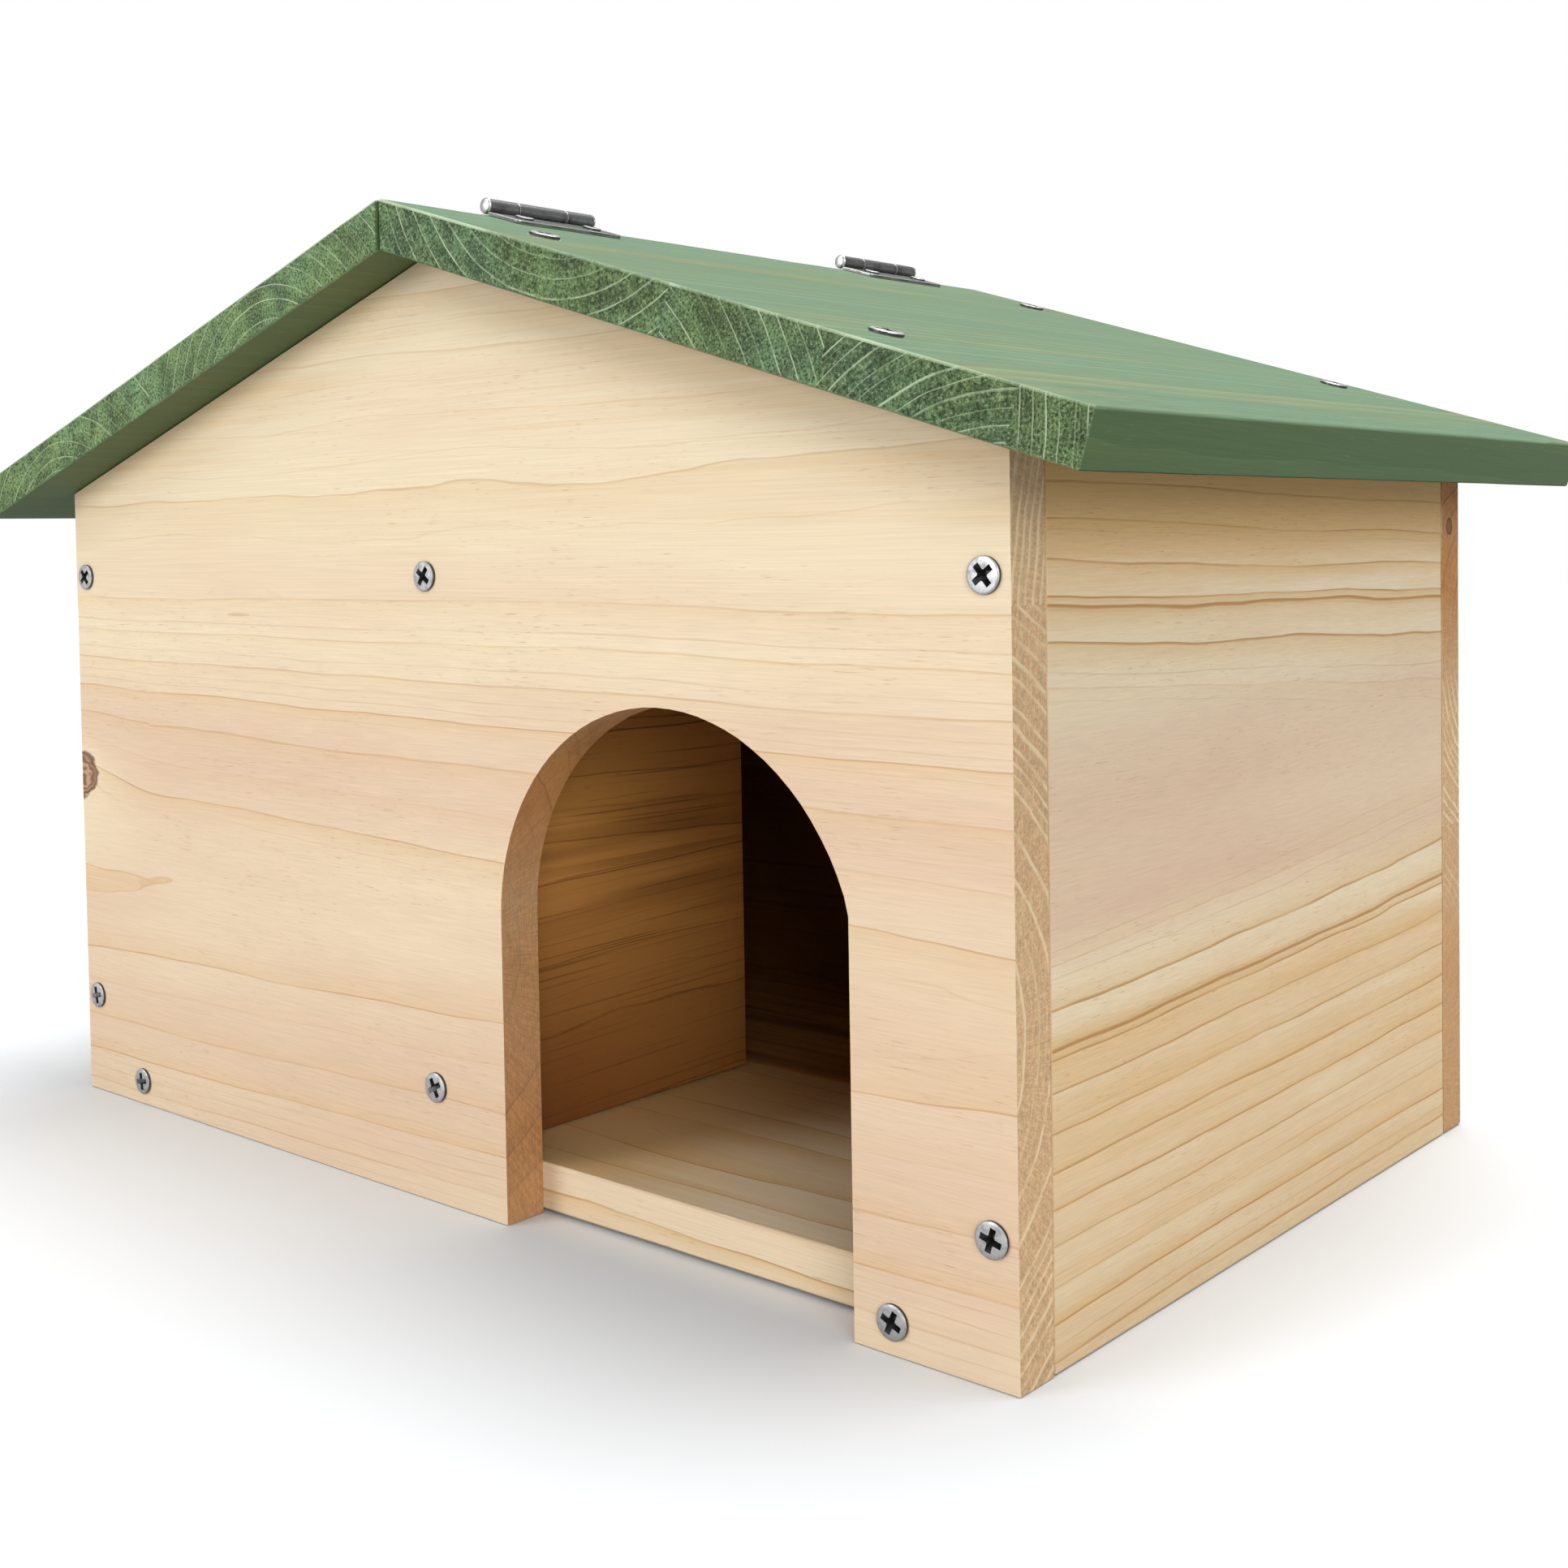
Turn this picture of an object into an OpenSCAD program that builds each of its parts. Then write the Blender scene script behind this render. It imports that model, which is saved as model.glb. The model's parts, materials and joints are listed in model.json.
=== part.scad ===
// Gabled hedgehog house of flat boards: arched doorway, short inner partition and a roof
// whose left slope is a lid hinged at the ridge.
// Millimetres, +Z up, doorway on the -Y face, origin on the ground under the middle.

/* [House] */
// width over the outer faces of the side walls
house_w = 370; // [330:1:420]
// depth over the outer faces of the front and back panels
house_d = 242; // [210:1:290]
// height of the wall corners, where the roof crosses the outer wall faces
wall_h = 200; // [175:1:240]
// rise of the gable point above the wall corners
gable_rise = 58; // [40:1:80]
// thickness of the wall, floor and partition boards
board_t = 13; // [11:0.5:16]
// height of the floor board's underside above the ground
floor_lift = 1; // [0.5:0.5:4]

/* [Doorway] */
// width of the doorway, twice the radius of its round head
door_w = 116; // [95:1:126]
// height of the doorway at the top of the arch
door_h = 140; // [115:1:155]
// distance of the doorway's centre line right of the middle
door_x = 83; // [78:1:90]

/* [Partition] */
// reach of the partition behind the front panel
partition_l = 105; // [80:1:130]
// distance of the partition's top below the wall corners
partition_drop = 5; // [2:1:14]

/* [Roof] */
// thickness of the two roof boards
roof_t = 13; // [12:0.5:16]
// overhang of the roof beyond the front and back panels
gable_overhang = 16; // [10:1:30]
// reach of the roof's underside beyond the side walls
eave_overhang = 26; // [15:1:40]

/* [Hinges] */
// length of one hinge along the ridge
hinge_l = 40; // [34:1:50]
// length of the middle knuckle
knuckle_mid = 18; // [14:1:22]
// distance of each hinge's middle from the nearer end of the ridge
hinge_inset = 58; // [40:1:75]
// outside diameter of the hinge barrel
barrel_d = 4.2; // [3.6:0.1:5]
// diameter of the hinge pin
pin_d = 2.2; // [1.8:0.1:2.6]
// diameter of the pin's domed ends
pin_head_d = 3.2; // [2.8:0.1:3.4]
// height of the pin's domed ends
pin_head_h = 0.7; // [0.4:0.1:1]
// width of a leaf from the ridge down the slope
leaf_w = 14; // [12:0.5:18]
// thickness of a leaf
leaf_t = 1; // [0.8:0.1:1.4]
// distance between the two screws of a leaf
leaf_screw_gap = 26; // [22:1:28]

/* [Screws] */
// diameter of the house screws
screw_d = 4; // [3.5:0.1:4.5]
// diameter of the house screws' heads
screw_head_d = 8.2; // [7:0.1:9]
// length of the house screws
screw_l = 35; // [30:1:40]
// height of the heads above the board
screw_proud = 0.4; // [0.2:0.1:0.6]
// distance of the upper screw row below the wall corners
row_high_drop = 28; // [22:1:40]
// height of the lower screw row above the ground
row_low = 32; // [26:1:45]
// offset of the partition screws from the partition's centre line
partition_screw_shift = -3; // [-3:0.5:3]
// distance of the floor screws from the outer wall faces
floor_screw_inset = 33; // [30:1:60]
// distance of the upper roof screws from the ridge plane
roof_screw_high = 40; // [30:1:60]
// distance of the lower roof screws inside the outer wall faces
roof_screw_inset = 36; // [30:1:60]
// diameter of the hinge screws
leaf_screw_d = 2.6; // [2.2:0.1:3]
// diameter of the hinge screws' heads
leaf_screw_head_d = 5.2; // [4.6:0.1:5.8]
// length of the hinge screws
leaf_screw_l = 9; // [7:0.5:10]

/* [Fits] */
// gap between the lid and the boards it rests on or meets at the ridge
lid_gap = 0.3; // [0.2:0.05:0.5]
// radial clearance of the pin in the knuckles
pin_fit = 0.05; // [0.02:0.01:0.08]
// gap between neighbouring knuckles
knuckle_gap = 0.3; // [0.2:0.05:0.5]
// gap between a knuckle and the roof or the other leaf
barrel_gap = 0.2; // [0.15:0.05:0.4]
// radial clearance of the screws in the boards
screw_fit = 0.05; // [0.02:0.01:0.1]

/* [Hidden] */
$fn = 64;

half_w = house_w / 2;
half_d = house_d / 2;
inner_w = half_w - board_t;
inner_d = half_d - board_t;
slope = atan(gable_rise / half_w);
peak_z = wall_h + gable_rise;
ridge_z = peak_z + roof_t / cos(slope);
eave_x = half_w + eave_overhang;
eave_z = peak_z - eave_x * tan(slope);
lid_drop = lid_gap / cos(slope);
roof_l = house_d + 2 * gable_overhang;
hinge_y = roof_l / 2 - hinge_inset;
floor_top = floor_lift + board_t;
wall_screw_x = half_w - board_t / 2;
floor_screw_x = half_w - floor_screw_inset;
roof_screw_low = half_w - roof_screw_inset;
row_high = wall_h - row_high_drop;
floor_screw_z = floor_lift + board_t / 2;
roof_screw_y = half_d - board_t / 2;
barrel_r = barrel_d / 2;
axis_z = ridge_z + (barrel_r + barrel_gap) / cos(slope);
knuckle_end = (hinge_l - knuckle_mid) / 2 - knuckle_gap;
leaf_screw_u = (barrel_r + leaf_w) / 2;
// reach of cutting solids past the faces they cut
cut = 2;
// height of the straight rim under a screw head's top
rim_h = 0.5;
// length of a screw's point
tip_h = 4;
// share of the head's width taken by the cross recess, and the recess's width and depth
recess_span = 0.56;
recess_w = 0.15;
recess_deep = 0.2;

wood = [0.88, 0.75, 0.55];
green = [0.28, 0.47, 0.27];
steel = [0.66, 0.67, 0.68];

// Moves children to a screw's place on the front panel, head outwards
module on_front(x, z) {
    translate([x, -half_d, z]) rotate([90, 0, 0]) children();
}

// Moves children to a screw's place on the back panel, head outwards
module on_back(x, z) {
    translate([x, half_d, z]) rotate([-90, 0, 0]) children();
}

// Moves children onto the right roof slope, at a distance from the ridge plane
module on_slope(x, y) {
    translate([x, y, ridge_z - x * tan(slope)]) rotate([0, slope, 0]) children();
}

// Moves children onto a leaf of the hinge at y, down the right slope from the ridge
module on_leaf(u, y) {
    translate([0, y, ridge_z]) rotate([0, slope, 0]) translate([u, 0, leaf_t]) children();
}

// Countersunk screw pointing down, its head standing proud of the plane z = 0
module screw(d, head_d, len, proud, turn) {
    cone_h = (head_d - d) / 2;
    translate([0, 0, proud]) rotate(turn) difference() {
        rotate_extrude() polygon([
            [0, 0], [head_d / 2, 0], [head_d / 2, -rim_h], [d / 2, -rim_h - cone_h],
            [d / 2, tip_h - len], [0, -len]
        ]);
        for (a = [0, 90]) rotate(a) translate([
            -head_d * recess_span / 2, -head_d * recess_w / 2, -head_d * recess_deep
        ]) cube([head_d * recess_span, head_d * recess_w, head_d]);
    }
}

// Space that a screw takes in the boards
module screw_hole(d, head_d, len, proud) {
    cone_h = (head_d - d) / 2;
    hole_r = d / 2 + screw_fit;
    translate([0, 0, proud]) rotate_extrude() polygon([
        [0, cut], [head_d / 2 + screw_fit, cut], [head_d / 2 + screw_fit, -rim_h],
        [hole_r, -rim_h - cone_h], [hole_r, -len - screw_fit], [0, -len - screw_fit]
    ]);
}

module house_screw(turn) {
    screw(screw_d, screw_head_d, screw_l, screw_proud, turn);
}

module house_hole() {
    screw_hole(screw_d, screw_head_d, screw_l, screw_proud);
}

module leaf_screw(turn) {
    screw(leaf_screw_d, leaf_screw_head_d, leaf_screw_l, 0, turn);
}

module leaf_hole() {
    screw_hole(leaf_screw_d, leaf_screw_head_d, leaf_screw_l, 0);
}

// Holes of both screw rows of one side wall, front and back
module wall_holes(x) {
    for (z = [row_low, row_high]) {
        on_front(x, z) house_hole();
        on_back(x, z) house_hole();
    }
}

module partition_holes() {
    for (z = [row_low, row_high]) on_front(partition_screw_shift, z) house_hole();
}

module floor_holes() {
    for (x = [-floor_screw_x, floor_screw_x]) {
        on_front(x, floor_screw_z) house_hole();
        on_back(x, floor_screw_z) house_hole();
    }
}

module roof_holes() {
    for (x = [roof_screw_high, roof_screw_low], y = [-roof_screw_y, roof_screw_y])
        on_slope(x, y) house_hole();
}

module leaf_holes(y) {
    for (s = [-1, 1]) on_leaf(leaf_screw_u, y + s * leaf_screw_gap / 2) leaf_hole();
}

// Outline of a gable panel; its left slope is lower by the lid's gap
module gable_outline() {
    polygon([
        [-half_w, 0], [half_w, 0], [half_w, wall_h], [0, peak_z],
        [0, peak_z - lid_drop], [-half_w, wall_h - lid_drop]
    ]);
}

module doorway_outline() {
    translate([door_x - door_w / 2, -cut]) square([door_w, door_h - door_w / 2 + cut]);
    translate([door_x, door_h - door_w / 2]) circle(d = door_w);
}

module front_panel() {
    color(wood) difference() {
        translate([0, -inner_d, 0]) rotate([90, 0, 0]) linear_extrude(board_t) difference() {
            gable_outline();
            doorway_outline();
        }
        wall_holes(-wall_screw_x);
        wall_holes(wall_screw_x);
        partition_holes();
        floor_holes();
        roof_holes();
    }
}

module back_panel() {
    color(wood) difference() {
        translate([0, half_d, 0]) rotate([90, 0, 0]) linear_extrude(board_t) gable_outline();
        wall_holes(-wall_screw_x);
        wall_holes(wall_screw_x);
        floor_holes();
        roof_holes();
    }
}

// Side wall between the panels, its top edge planed to the roof's slope
module side_wall(side, drop) {
    inner_top = wall_h + board_t * tan(slope) - drop;
    difference() {
        translate([0, inner_d, 0]) rotate([90, 0, 0]) linear_extrude(2 * inner_d) polygon([
            [side * inner_w, 0], [side * half_w, 0],
            [side * half_w, wall_h - drop], [side * inner_w, inner_top]
        ]);
        wall_holes(side * wall_screw_x);
    }
}

module left_wall() {
    color(wood) side_wall(-1, lid_drop);
}

module right_wall() {
    color(wood) side_wall(1, 0);
}

module floor_board() {
    color(wood) difference() {
        translate([-inner_w, -inner_d, floor_lift]) cube([2 * inner_w, 2 * inner_d, board_t]);
        floor_holes();
    }
}

module partition() {
    color(wood) difference() {
        translate([-board_t / 2, -inner_d, floor_top])
            cube([board_t, partition_l, wall_h - partition_drop - floor_top]);
        partition_holes();
    }
}

// Right roof board, mitred at the ridge and cut square at the eave
module roof_board() {
    seam = lid_gap / 2;
    translate([0, roof_l / 2, 0]) rotate([90, 0, 0]) linear_extrude(roof_l) polygon([
        [seam, peak_z - seam * tan(slope)],
        [eave_x, eave_z],
        [eave_x + roof_t * sin(slope), eave_z + roof_t * cos(slope)],
        [seam, ridge_z - seam * tan(slope)]
    ]);
}

module fixed_roof_panel() {
    color(green) difference() {
        roof_board();
        roof_holes();
        leaf_holes(-hinge_y);
        leaf_holes(hinge_y);
    }
}

module lid_panel() {
    color(green) mirror([1, 0, 0]) difference() {
        roof_board();
        leaf_holes(-hinge_y);
        leaf_holes(hinge_y);
    }
}

// Cylinder on the hinge axis from y1 to y2
module on_axis(r, y1, y2) {
    translate([0, y2, axis_z]) rotate([90, 0, 0]) cylinder(r = r, h = y2 - y1);
}

// Leaf on the right slope with its knuckles, cleared around the knuckles of the other leaf
module leaf(y, own, other) {
    difference() {
        union() {
            difference() {
                translate([0, y - hinge_l / 2, ridge_z]) rotate([0, slope, 0])
                    cube([leaf_w, hinge_l, leaf_t]);
                for (k = other)
                    on_axis(barrel_r + barrel_gap, y + k[0] - knuckle_gap, y + k[1] + knuckle_gap);
            }
            for (k = own) on_axis(barrel_r, y + k[0], y + k[1]);
        }
        on_axis(pin_d / 2 + pin_fit, y - hinge_l / 2 - cut, y + hinge_l / 2 + cut);
        leaf_holes(y);
    }
}

mid_knuckle = [[-knuckle_mid / 2, knuckle_mid / 2]];
end_knuckles = [
    [-hinge_l / 2, knuckle_end - hinge_l / 2],
    [hinge_l / 2 - knuckle_end, hinge_l / 2]
];

module fixed_leaf(y) {
    color(steel) leaf(y, end_knuckles, mid_knuckle);
}

module lid_leaf(y) {
    color(steel) mirror([1, 0, 0]) leaf(y, mid_knuckle, end_knuckles);
}

// Pin with a domed head beyond each end of the barrel
module hinge_pin(y) {
    half_l = hinge_l / 2;
    color(steel) translate([0, y, axis_z]) rotate([90, 0, 0]) rotate_extrude() polygon([
        [0, -half_l - pin_head_h],
        [pin_head_d / 4, -half_l - pin_head_h],
        [pin_head_d / 2, -half_l - pin_head_h / 2],
        [pin_head_d / 2, -half_l],
        [pin_d / 2, -half_l],
        [pin_d / 2, half_l],
        [pin_head_d / 2, half_l],
        [pin_head_d / 2, half_l + pin_head_h / 2],
        [pin_head_d / 4, half_l + pin_head_h],
        [0, half_l + pin_head_h]
    ]);
}

module front_hinge_fixed_leaf() {
    fixed_leaf(-hinge_y);
}

module front_hinge_lid_leaf() {
    lid_leaf(-hinge_y);
}

module front_hinge_pin() {
    hinge_pin(-hinge_y);
}

module rear_hinge_fixed_leaf() {
    fixed_leaf(hinge_y);
}

module rear_hinge_lid_leaf() {
    lid_leaf(hinge_y);
}

module rear_hinge_pin() {
    hinge_pin(hinge_y);
}

module front_left_wall_screws() {
    color(steel) {
        on_front(-wall_screw_x, row_high) house_screw(40);
        on_front(-wall_screw_x, row_low) house_screw(12);
    }
}

module front_right_wall_screws() {
    color(steel) {
        on_front(wall_screw_x, row_high) house_screw(38);
        on_front(wall_screw_x, row_low) house_screw(74);
    }
}

module front_partition_screws() {
    color(steel) {
        on_front(partition_screw_shift, row_high) house_screw(55);
        on_front(partition_screw_shift, row_low) house_screw(30);
    }
}

module front_floor_screws() {
    color(steel) {
        on_front(-floor_screw_x, floor_screw_z) house_screw(8);
        on_front(floor_screw_x, floor_screw_z) house_screw(66);
    }
}

module back_left_wall_screws() {
    color(steel) {
        on_back(-wall_screw_x, row_high) house_screw(22);
        on_back(-wall_screw_x, row_low) house_screw(61);
    }
}

module back_right_wall_screws() {
    color(steel) {
        on_back(wall_screw_x, row_high) house_screw(83);
        on_back(wall_screw_x, row_low) house_screw(17);
    }
}

module back_floor_screws() {
    color(steel) {
        on_back(-floor_screw_x, floor_screw_z) house_screw(48);
        on_back(floor_screw_x, floor_screw_z) house_screw(5);
    }
}

module front_roof_screws() {
    color(steel) {
        on_slope(roof_screw_high, -roof_screw_y) house_screw(15);
        on_slope(roof_screw_low, -roof_screw_y) house_screw(52);
    }
}

module back_roof_screws() {
    color(steel) {
        on_slope(roof_screw_high, roof_screw_y) house_screw(70);
        on_slope(roof_screw_low, roof_screw_y) house_screw(33);
    }
}

// Both screws of one leaf on the right slope
module leaf_screws(y, turn_near, turn_far) {
    on_leaf(leaf_screw_u, y - leaf_screw_gap / 2) leaf_screw(turn_near);
    on_leaf(leaf_screw_u, y + leaf_screw_gap / 2) leaf_screw(turn_far);
}

module front_hinge_fixed_screws() {
    color(steel) leaf_screws(-hinge_y, 20, 64);
}

module front_hinge_lid_screws() {
    color(steel) mirror([1, 0, 0]) leaf_screws(-hinge_y, 41, 7);
}

module rear_hinge_fixed_screws() {
    color(steel) leaf_screws(hinge_y, 78, 31);
}

module rear_hinge_lid_screws() {
    color(steel) mirror([1, 0, 0]) leaf_screws(hinge_y, 56, 13);
}

front_panel();
back_panel();
left_wall();
right_wall();
floor_board();
partition();
fixed_roof_panel();
lid_panel();
front_hinge_fixed_leaf();
front_hinge_lid_leaf();
front_hinge_pin();
rear_hinge_fixed_leaf();
rear_hinge_lid_leaf();
rear_hinge_pin();
front_left_wall_screws();
front_right_wall_screws();
front_partition_screws();
front_floor_screws();
back_left_wall_screws();
back_right_wall_screws();
back_floor_screws();
front_roof_screws();
back_roof_screws();
front_hinge_fixed_screws();
front_hinge_lid_screws();
rear_hinge_fixed_screws();
rear_hinge_lid_screws();
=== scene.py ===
"""Dresses the hedgehog house: planed boards, stained roof, zinc fittings and the stage."""

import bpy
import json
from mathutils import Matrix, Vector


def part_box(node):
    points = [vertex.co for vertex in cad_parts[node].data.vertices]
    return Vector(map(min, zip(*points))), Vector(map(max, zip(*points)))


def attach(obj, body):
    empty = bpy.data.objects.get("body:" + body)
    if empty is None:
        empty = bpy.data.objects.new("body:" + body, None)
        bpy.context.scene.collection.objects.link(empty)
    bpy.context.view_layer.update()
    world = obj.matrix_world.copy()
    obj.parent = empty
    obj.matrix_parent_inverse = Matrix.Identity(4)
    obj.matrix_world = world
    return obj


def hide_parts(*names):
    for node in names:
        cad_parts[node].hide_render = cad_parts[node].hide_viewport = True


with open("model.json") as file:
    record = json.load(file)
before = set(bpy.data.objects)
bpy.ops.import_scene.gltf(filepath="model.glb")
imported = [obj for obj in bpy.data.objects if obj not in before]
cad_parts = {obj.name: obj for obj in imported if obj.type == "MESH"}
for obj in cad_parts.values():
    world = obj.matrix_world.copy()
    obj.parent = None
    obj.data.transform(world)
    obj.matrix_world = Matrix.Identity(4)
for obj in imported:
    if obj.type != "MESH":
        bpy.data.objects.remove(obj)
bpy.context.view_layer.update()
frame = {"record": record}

import json
import math
from dataclasses import dataclass
from typing import NamedTuple

import bmesh
import bpy
from bpy.props import FloatProperty, FloatVectorProperty, PointerProperty
from mathutils import Matrix, Vector, noise

bl_info = {
    "name": "Hedgehog House",
    "version": (1, 0, 0),
    "blender": (4, 5, 0),
    "location": "View3D > Sidebar > Hedgehog House",
    "description": "Builds the boards, roof, hinges and screws of a wooden hedgehog house",
    "category": "Add Mesh",
}

MM = 0.001
X, Y, Z = Vector((1, 0, 0)), Vector((0, 1, 0)), Vector((0, 0, 1))

# Places read from the frame
PANEL_LOW, PANEL_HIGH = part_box("front_panel")
WALL_LOW, WALL_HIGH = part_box("right_wall")
FLOOR_LOW, FLOOR_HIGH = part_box("floor_board")
SCREEN_LOW, SCREEN_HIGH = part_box("partition")
ROOF_LOW, ROOF_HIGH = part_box("fixed_roof_panel")
HINGE_AXIS_Z = frame["record"]["behaviour"]["joints"][0]["pos_m"][2]
HALF_W = PANEL_HIGH.x
PEAK_Z = PANEL_HIGH.z
FRONT_Y = PANEL_LOW.y
BACK_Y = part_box("back_panel")[1].y


# Settings


def length(name, default, description):
    return FloatProperty(
        name=name, description=description, default=default, unit="LENGTH", precision=5,
    )


def factor(name, default, description, top=1.0):
    return FloatProperty(name=name, description=description, default=default, min=0.0, max=top)


def colour(name, default, description):
    return FloatVectorProperty(
        name=name, description=description, default=default, size=3, min=0.0, max=1.0,
        subtype="COLOR",
    )


def angle(name, default, description):
    return FloatProperty(
        name=name, description=description, default=math.radians(default), subtype="ANGLE",
    )


class HouseSizes(bpy.types.PropertyGroup):
    """Sizes of the boards and fittings"""

    wall_height: length("Wall height", 0.200, "Height of the wall corners under the roof")
    door_width: length("Door width", 0.116, "Width of the arched doorway")
    door_height: length("Door height", 0.140, "Height of the arch above the ground")
    door_offset: length("Door offset", 0.083, "Distance of the doorway right of the middle")
    roof_thickness: length("Roof thickness", 0.013, "Thickness of the roof boards")
    lid_gap: length("Lid gap", 0.0003, "Gap between the lid and what it rests on or meets")
    ridge_seam: length("Ridge seam", 0.0011, "Open seam between the roof boards at the ridge")
    joint_gap: length("Joint gap", 0.00045, "Gap at the butt joints of the side walls")
    arris: length("Arris", 0.0007, "Rounding of the boards' long edges")
    roof_arris: length("Roof arris", 0.0007, "Rounding of the roof boards' edges")
    wear: length("Edge wear", 0.00022, "Unevenness of the rounded edges")
    screw_head: length("Screw head", 0.0082, "Diameter of the house screws' heads")
    screw_shank: length("Screw shank", 0.004, "Diameter of the house screws' threads")
    screw_length: length("Screw length", 0.035, "Length of the house screws")
    screw_proud: length("Screw proud", 0.001, "Height of the screw heads above the boards")
    leaf_screw_head: length("Hinge screw head", 0.0052, "Diameter of the hinge screws' heads")
    leaf_screw_proud: length(
        "Hinge screw proud", 0.0007, "Height of the hinge screws' heads above the leaves",
    )
    leaf_screw_shank: length("Hinge screw shank", 0.0026, "Diameter of the hinge screws' threads")
    leaf_screw_length: length("Hinge screw length", 0.009, "Length of the hinge screws")
    hinge_length: length("Hinge length", 0.040, "Length of a hinge along the ridge")
    hinge_offset: length(
        "Hinge offset", 0.079, "Distance of each hinge from the middle of the ridge",
    )
    leaf_width: length("Leaf width", 0.014, "Reach of a hinge leaf down the slope")
    leaf_thickness: length("Leaf thickness", 0.001, "Thickness of a hinge leaf")
    barrel: length("Barrel", 0.0042, "Outside diameter of the hinge barrel")
    pin: length("Pin", 0.0022, "Diameter of the hinge pin")
    middle_knuckle: length("Middle knuckle", 0.018, "Length of the middle knuckle")
    knuckle_gap: length("Knuckle gap", 0.0003, "Gap between neighbouring knuckles")


class HouseFinishes(bpy.types.PropertyGroup):
    """Colours of the wood, the stain and the zinc"""

    pale_wood: colour("Pale wood", (0.90, 0.755, 0.53), "Early wood of the pale boards")
    warm_wood: colour("Warm wood", (0.79, 0.57, 0.40), "Early wood of the pinkish boards")
    gold_wood: colour("Golden wood", (0.81, 0.56, 0.29), "Early wood of the golden boards")
    band_wood: colour("Band wood", (0.74, 0.47, 0.19), "Soft darkening towards a ring line")
    line_wood: colour("Line wood", (0.50, 0.235, 0.06), "Late wood lines")
    # The inner colours are painted shade: darker, redder browns that stand in for the shade
    # inside the house, in the doorway and on the partition.
    inner_wood: colour("Inner wood", (0.72, 0.34, 0.085), "Early wood of the brown inner boards")
    inner_band: colour("Inner band", (0.19, 0.062, 0.013), "Reddish parts of the inner boards")
    inner_line: colour("Inner lines", (0.115, 0.042, 0.011), "Late wood of the inner boards")
    inner_end: colour("Inner end wood", (0.58, 0.27, 0.105), "Browned sawn faces of the doorway")
    end_wood: colour("End wood", (0.66, 0.43, 0.225), "Sawn end grain")
    end_line: colour("End lines", (0.93, 0.75, 0.48), "Hard ring lines in sawn end grain")
    knot_wood: colour("Knot wood", (0.27, 0.115, 0.052), "Heart of a knot")
    knot_rim: colour("Knot rim", (0.085, 0.03, 0.014), "Dark bark around a knot")
    stain_top: colour("Stain", (0.131, 0.224, 0.117), "Green stain on long grain")
    stain_end: colour("End stain", (0.118, 0.192, 0.068), "Green stain on sawn end grain")
    stain_cool: colour("Cool stain", (0.102, 0.226, 0.137), "Bluish patches in the stain")
    # Shaded and deep stain are painted shade on the eaves, the undersides and in the ridge seam;
    # the deep stain also darkens the open pores.
    stain_shade: colour("Shaded stain", (0.05, 0.10, 0.012), "Green stain at the eaves")
    stain_deep: colour("Deep stain", (0.014, 0.03, 0.006), "Green stain in open pores and below")
    stain_line: colour("Stain lines", (0.36, 0.47, 0.24), "Hard ring lines that take less stain")
    stain_ring: colour("End stain lines", (0.62, 0.72, 0.50), "Hard rings in stained end grain")
    # The stained edge colour is a painted highlight along the upper edges.
    stain_edge: colour("Stained edge", (0.52, 0.64, 0.42), "Upper edges of the stained boards")
    stain_rub: colour("Stain rub", (0.215, 0.24, 0.10), "Brownish streaks in the stain")
    bare_edge: colour("Bare edge", (0.46, 0.22, 0.07), "Unstained wood at the roof's ends")
    zinc: colour("Zinc", (0.66, 0.66, 0.67), "Zinc plate of the screws")
    zinc_dull: colour("Dull zinc", (0.44, 0.44, 0.45), "Dull patches of the screws' zinc plate")
    pin_zinc: colour("Pin zinc", (0.86, 0.86, 0.86), "Zinc plate of the hinge pins")
    roof_zinc: colour("Weathered zinc", (0.70, 0.68, 0.68), "Zinc plate of the roof screws")
    roof_dull: colour("Dull roof zinc", (0.42, 0.41, 0.41), "Dull patches of the roof screws")
    # The hinge zinc is a darker copy of the screws' zinc: painted shade that stands in for dark
    # reflections.
    leaf_zinc: colour("Hinge zinc", (0.32, 0.32, 0.32), "Zinc plate of the hinge leaves")
    leaf_dull: colour("Dull hinge zinc", (0.17, 0.17, 0.17), "Dull patches of the hinge leaves")


class HouseStage(bpy.types.PropertyGroup):
    """Camera and light of the studio"""

    floor_tone: colour("Floor tone", (0.815, 0.845, 0.875), "Colour of the studio floor")
    floor_glow: factor("Floor glow", 0.01, "Own light of the floor, which softens shadows")
    floor_bounce: colour(
        "Floor bounce", (0.37, 0.37, 0.37), "Part of the light that the floor throws back",
    )
    sky: factor("Sky", 0.35, "Strength of the light from all around", 4.0)
    key: factor("Key light", 0.98, "Strength of the light from the front", 10.0)
    fill: factor("Fill light", 0.42, "Strength of the light from the front and above", 10.0)
    side: factor("Side light", 1.33, "Strength of the light from the right", 10.0)
    top: factor("Top light", 2.65, "Strength of the light from above", 10.0)
    camera_x: length("Camera X", 0.4033, "Camera place to the right")
    camera_y: length("Camera Y", -0.4534, "Camera place to the front")
    camera_z: length("Camera Z", 0.1795, "Camera height")
    camera_turn: angle("Camera turn", 41.92, "Turn of the camera to the left")
    camera_dip: angle("Camera dip", 2.05, "Dip of the camera below the horizon")
    camera_roll: angle("Camera roll", -0.994, "Roll of the camera")
    focal: FloatProperty(
        name="Focal length", description="Focal length on a 36 mm sensor", default=43.897,
        unit="CAMERA",
    )
    shift_x: FloatProperty(
        name="Shift X", description="Sideways shift of the picture", default=0.0398,
    )
    shift_y: FloatProperty(
        name="Shift Y", description="Upward shift of the picture", default=-0.1098,
    )


def sizes():
    return bpy.context.scene.house_sizes


def finishes():
    return bpy.context.scene.house_finishes


def slope_angle():
    return math.atan2(PEAK_Z - sizes().wall_height, HALF_W)


def ridge_z():
    return PEAK_Z + sizes().roof_thickness / math.cos(slope_angle())


# Shader helpers


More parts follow.
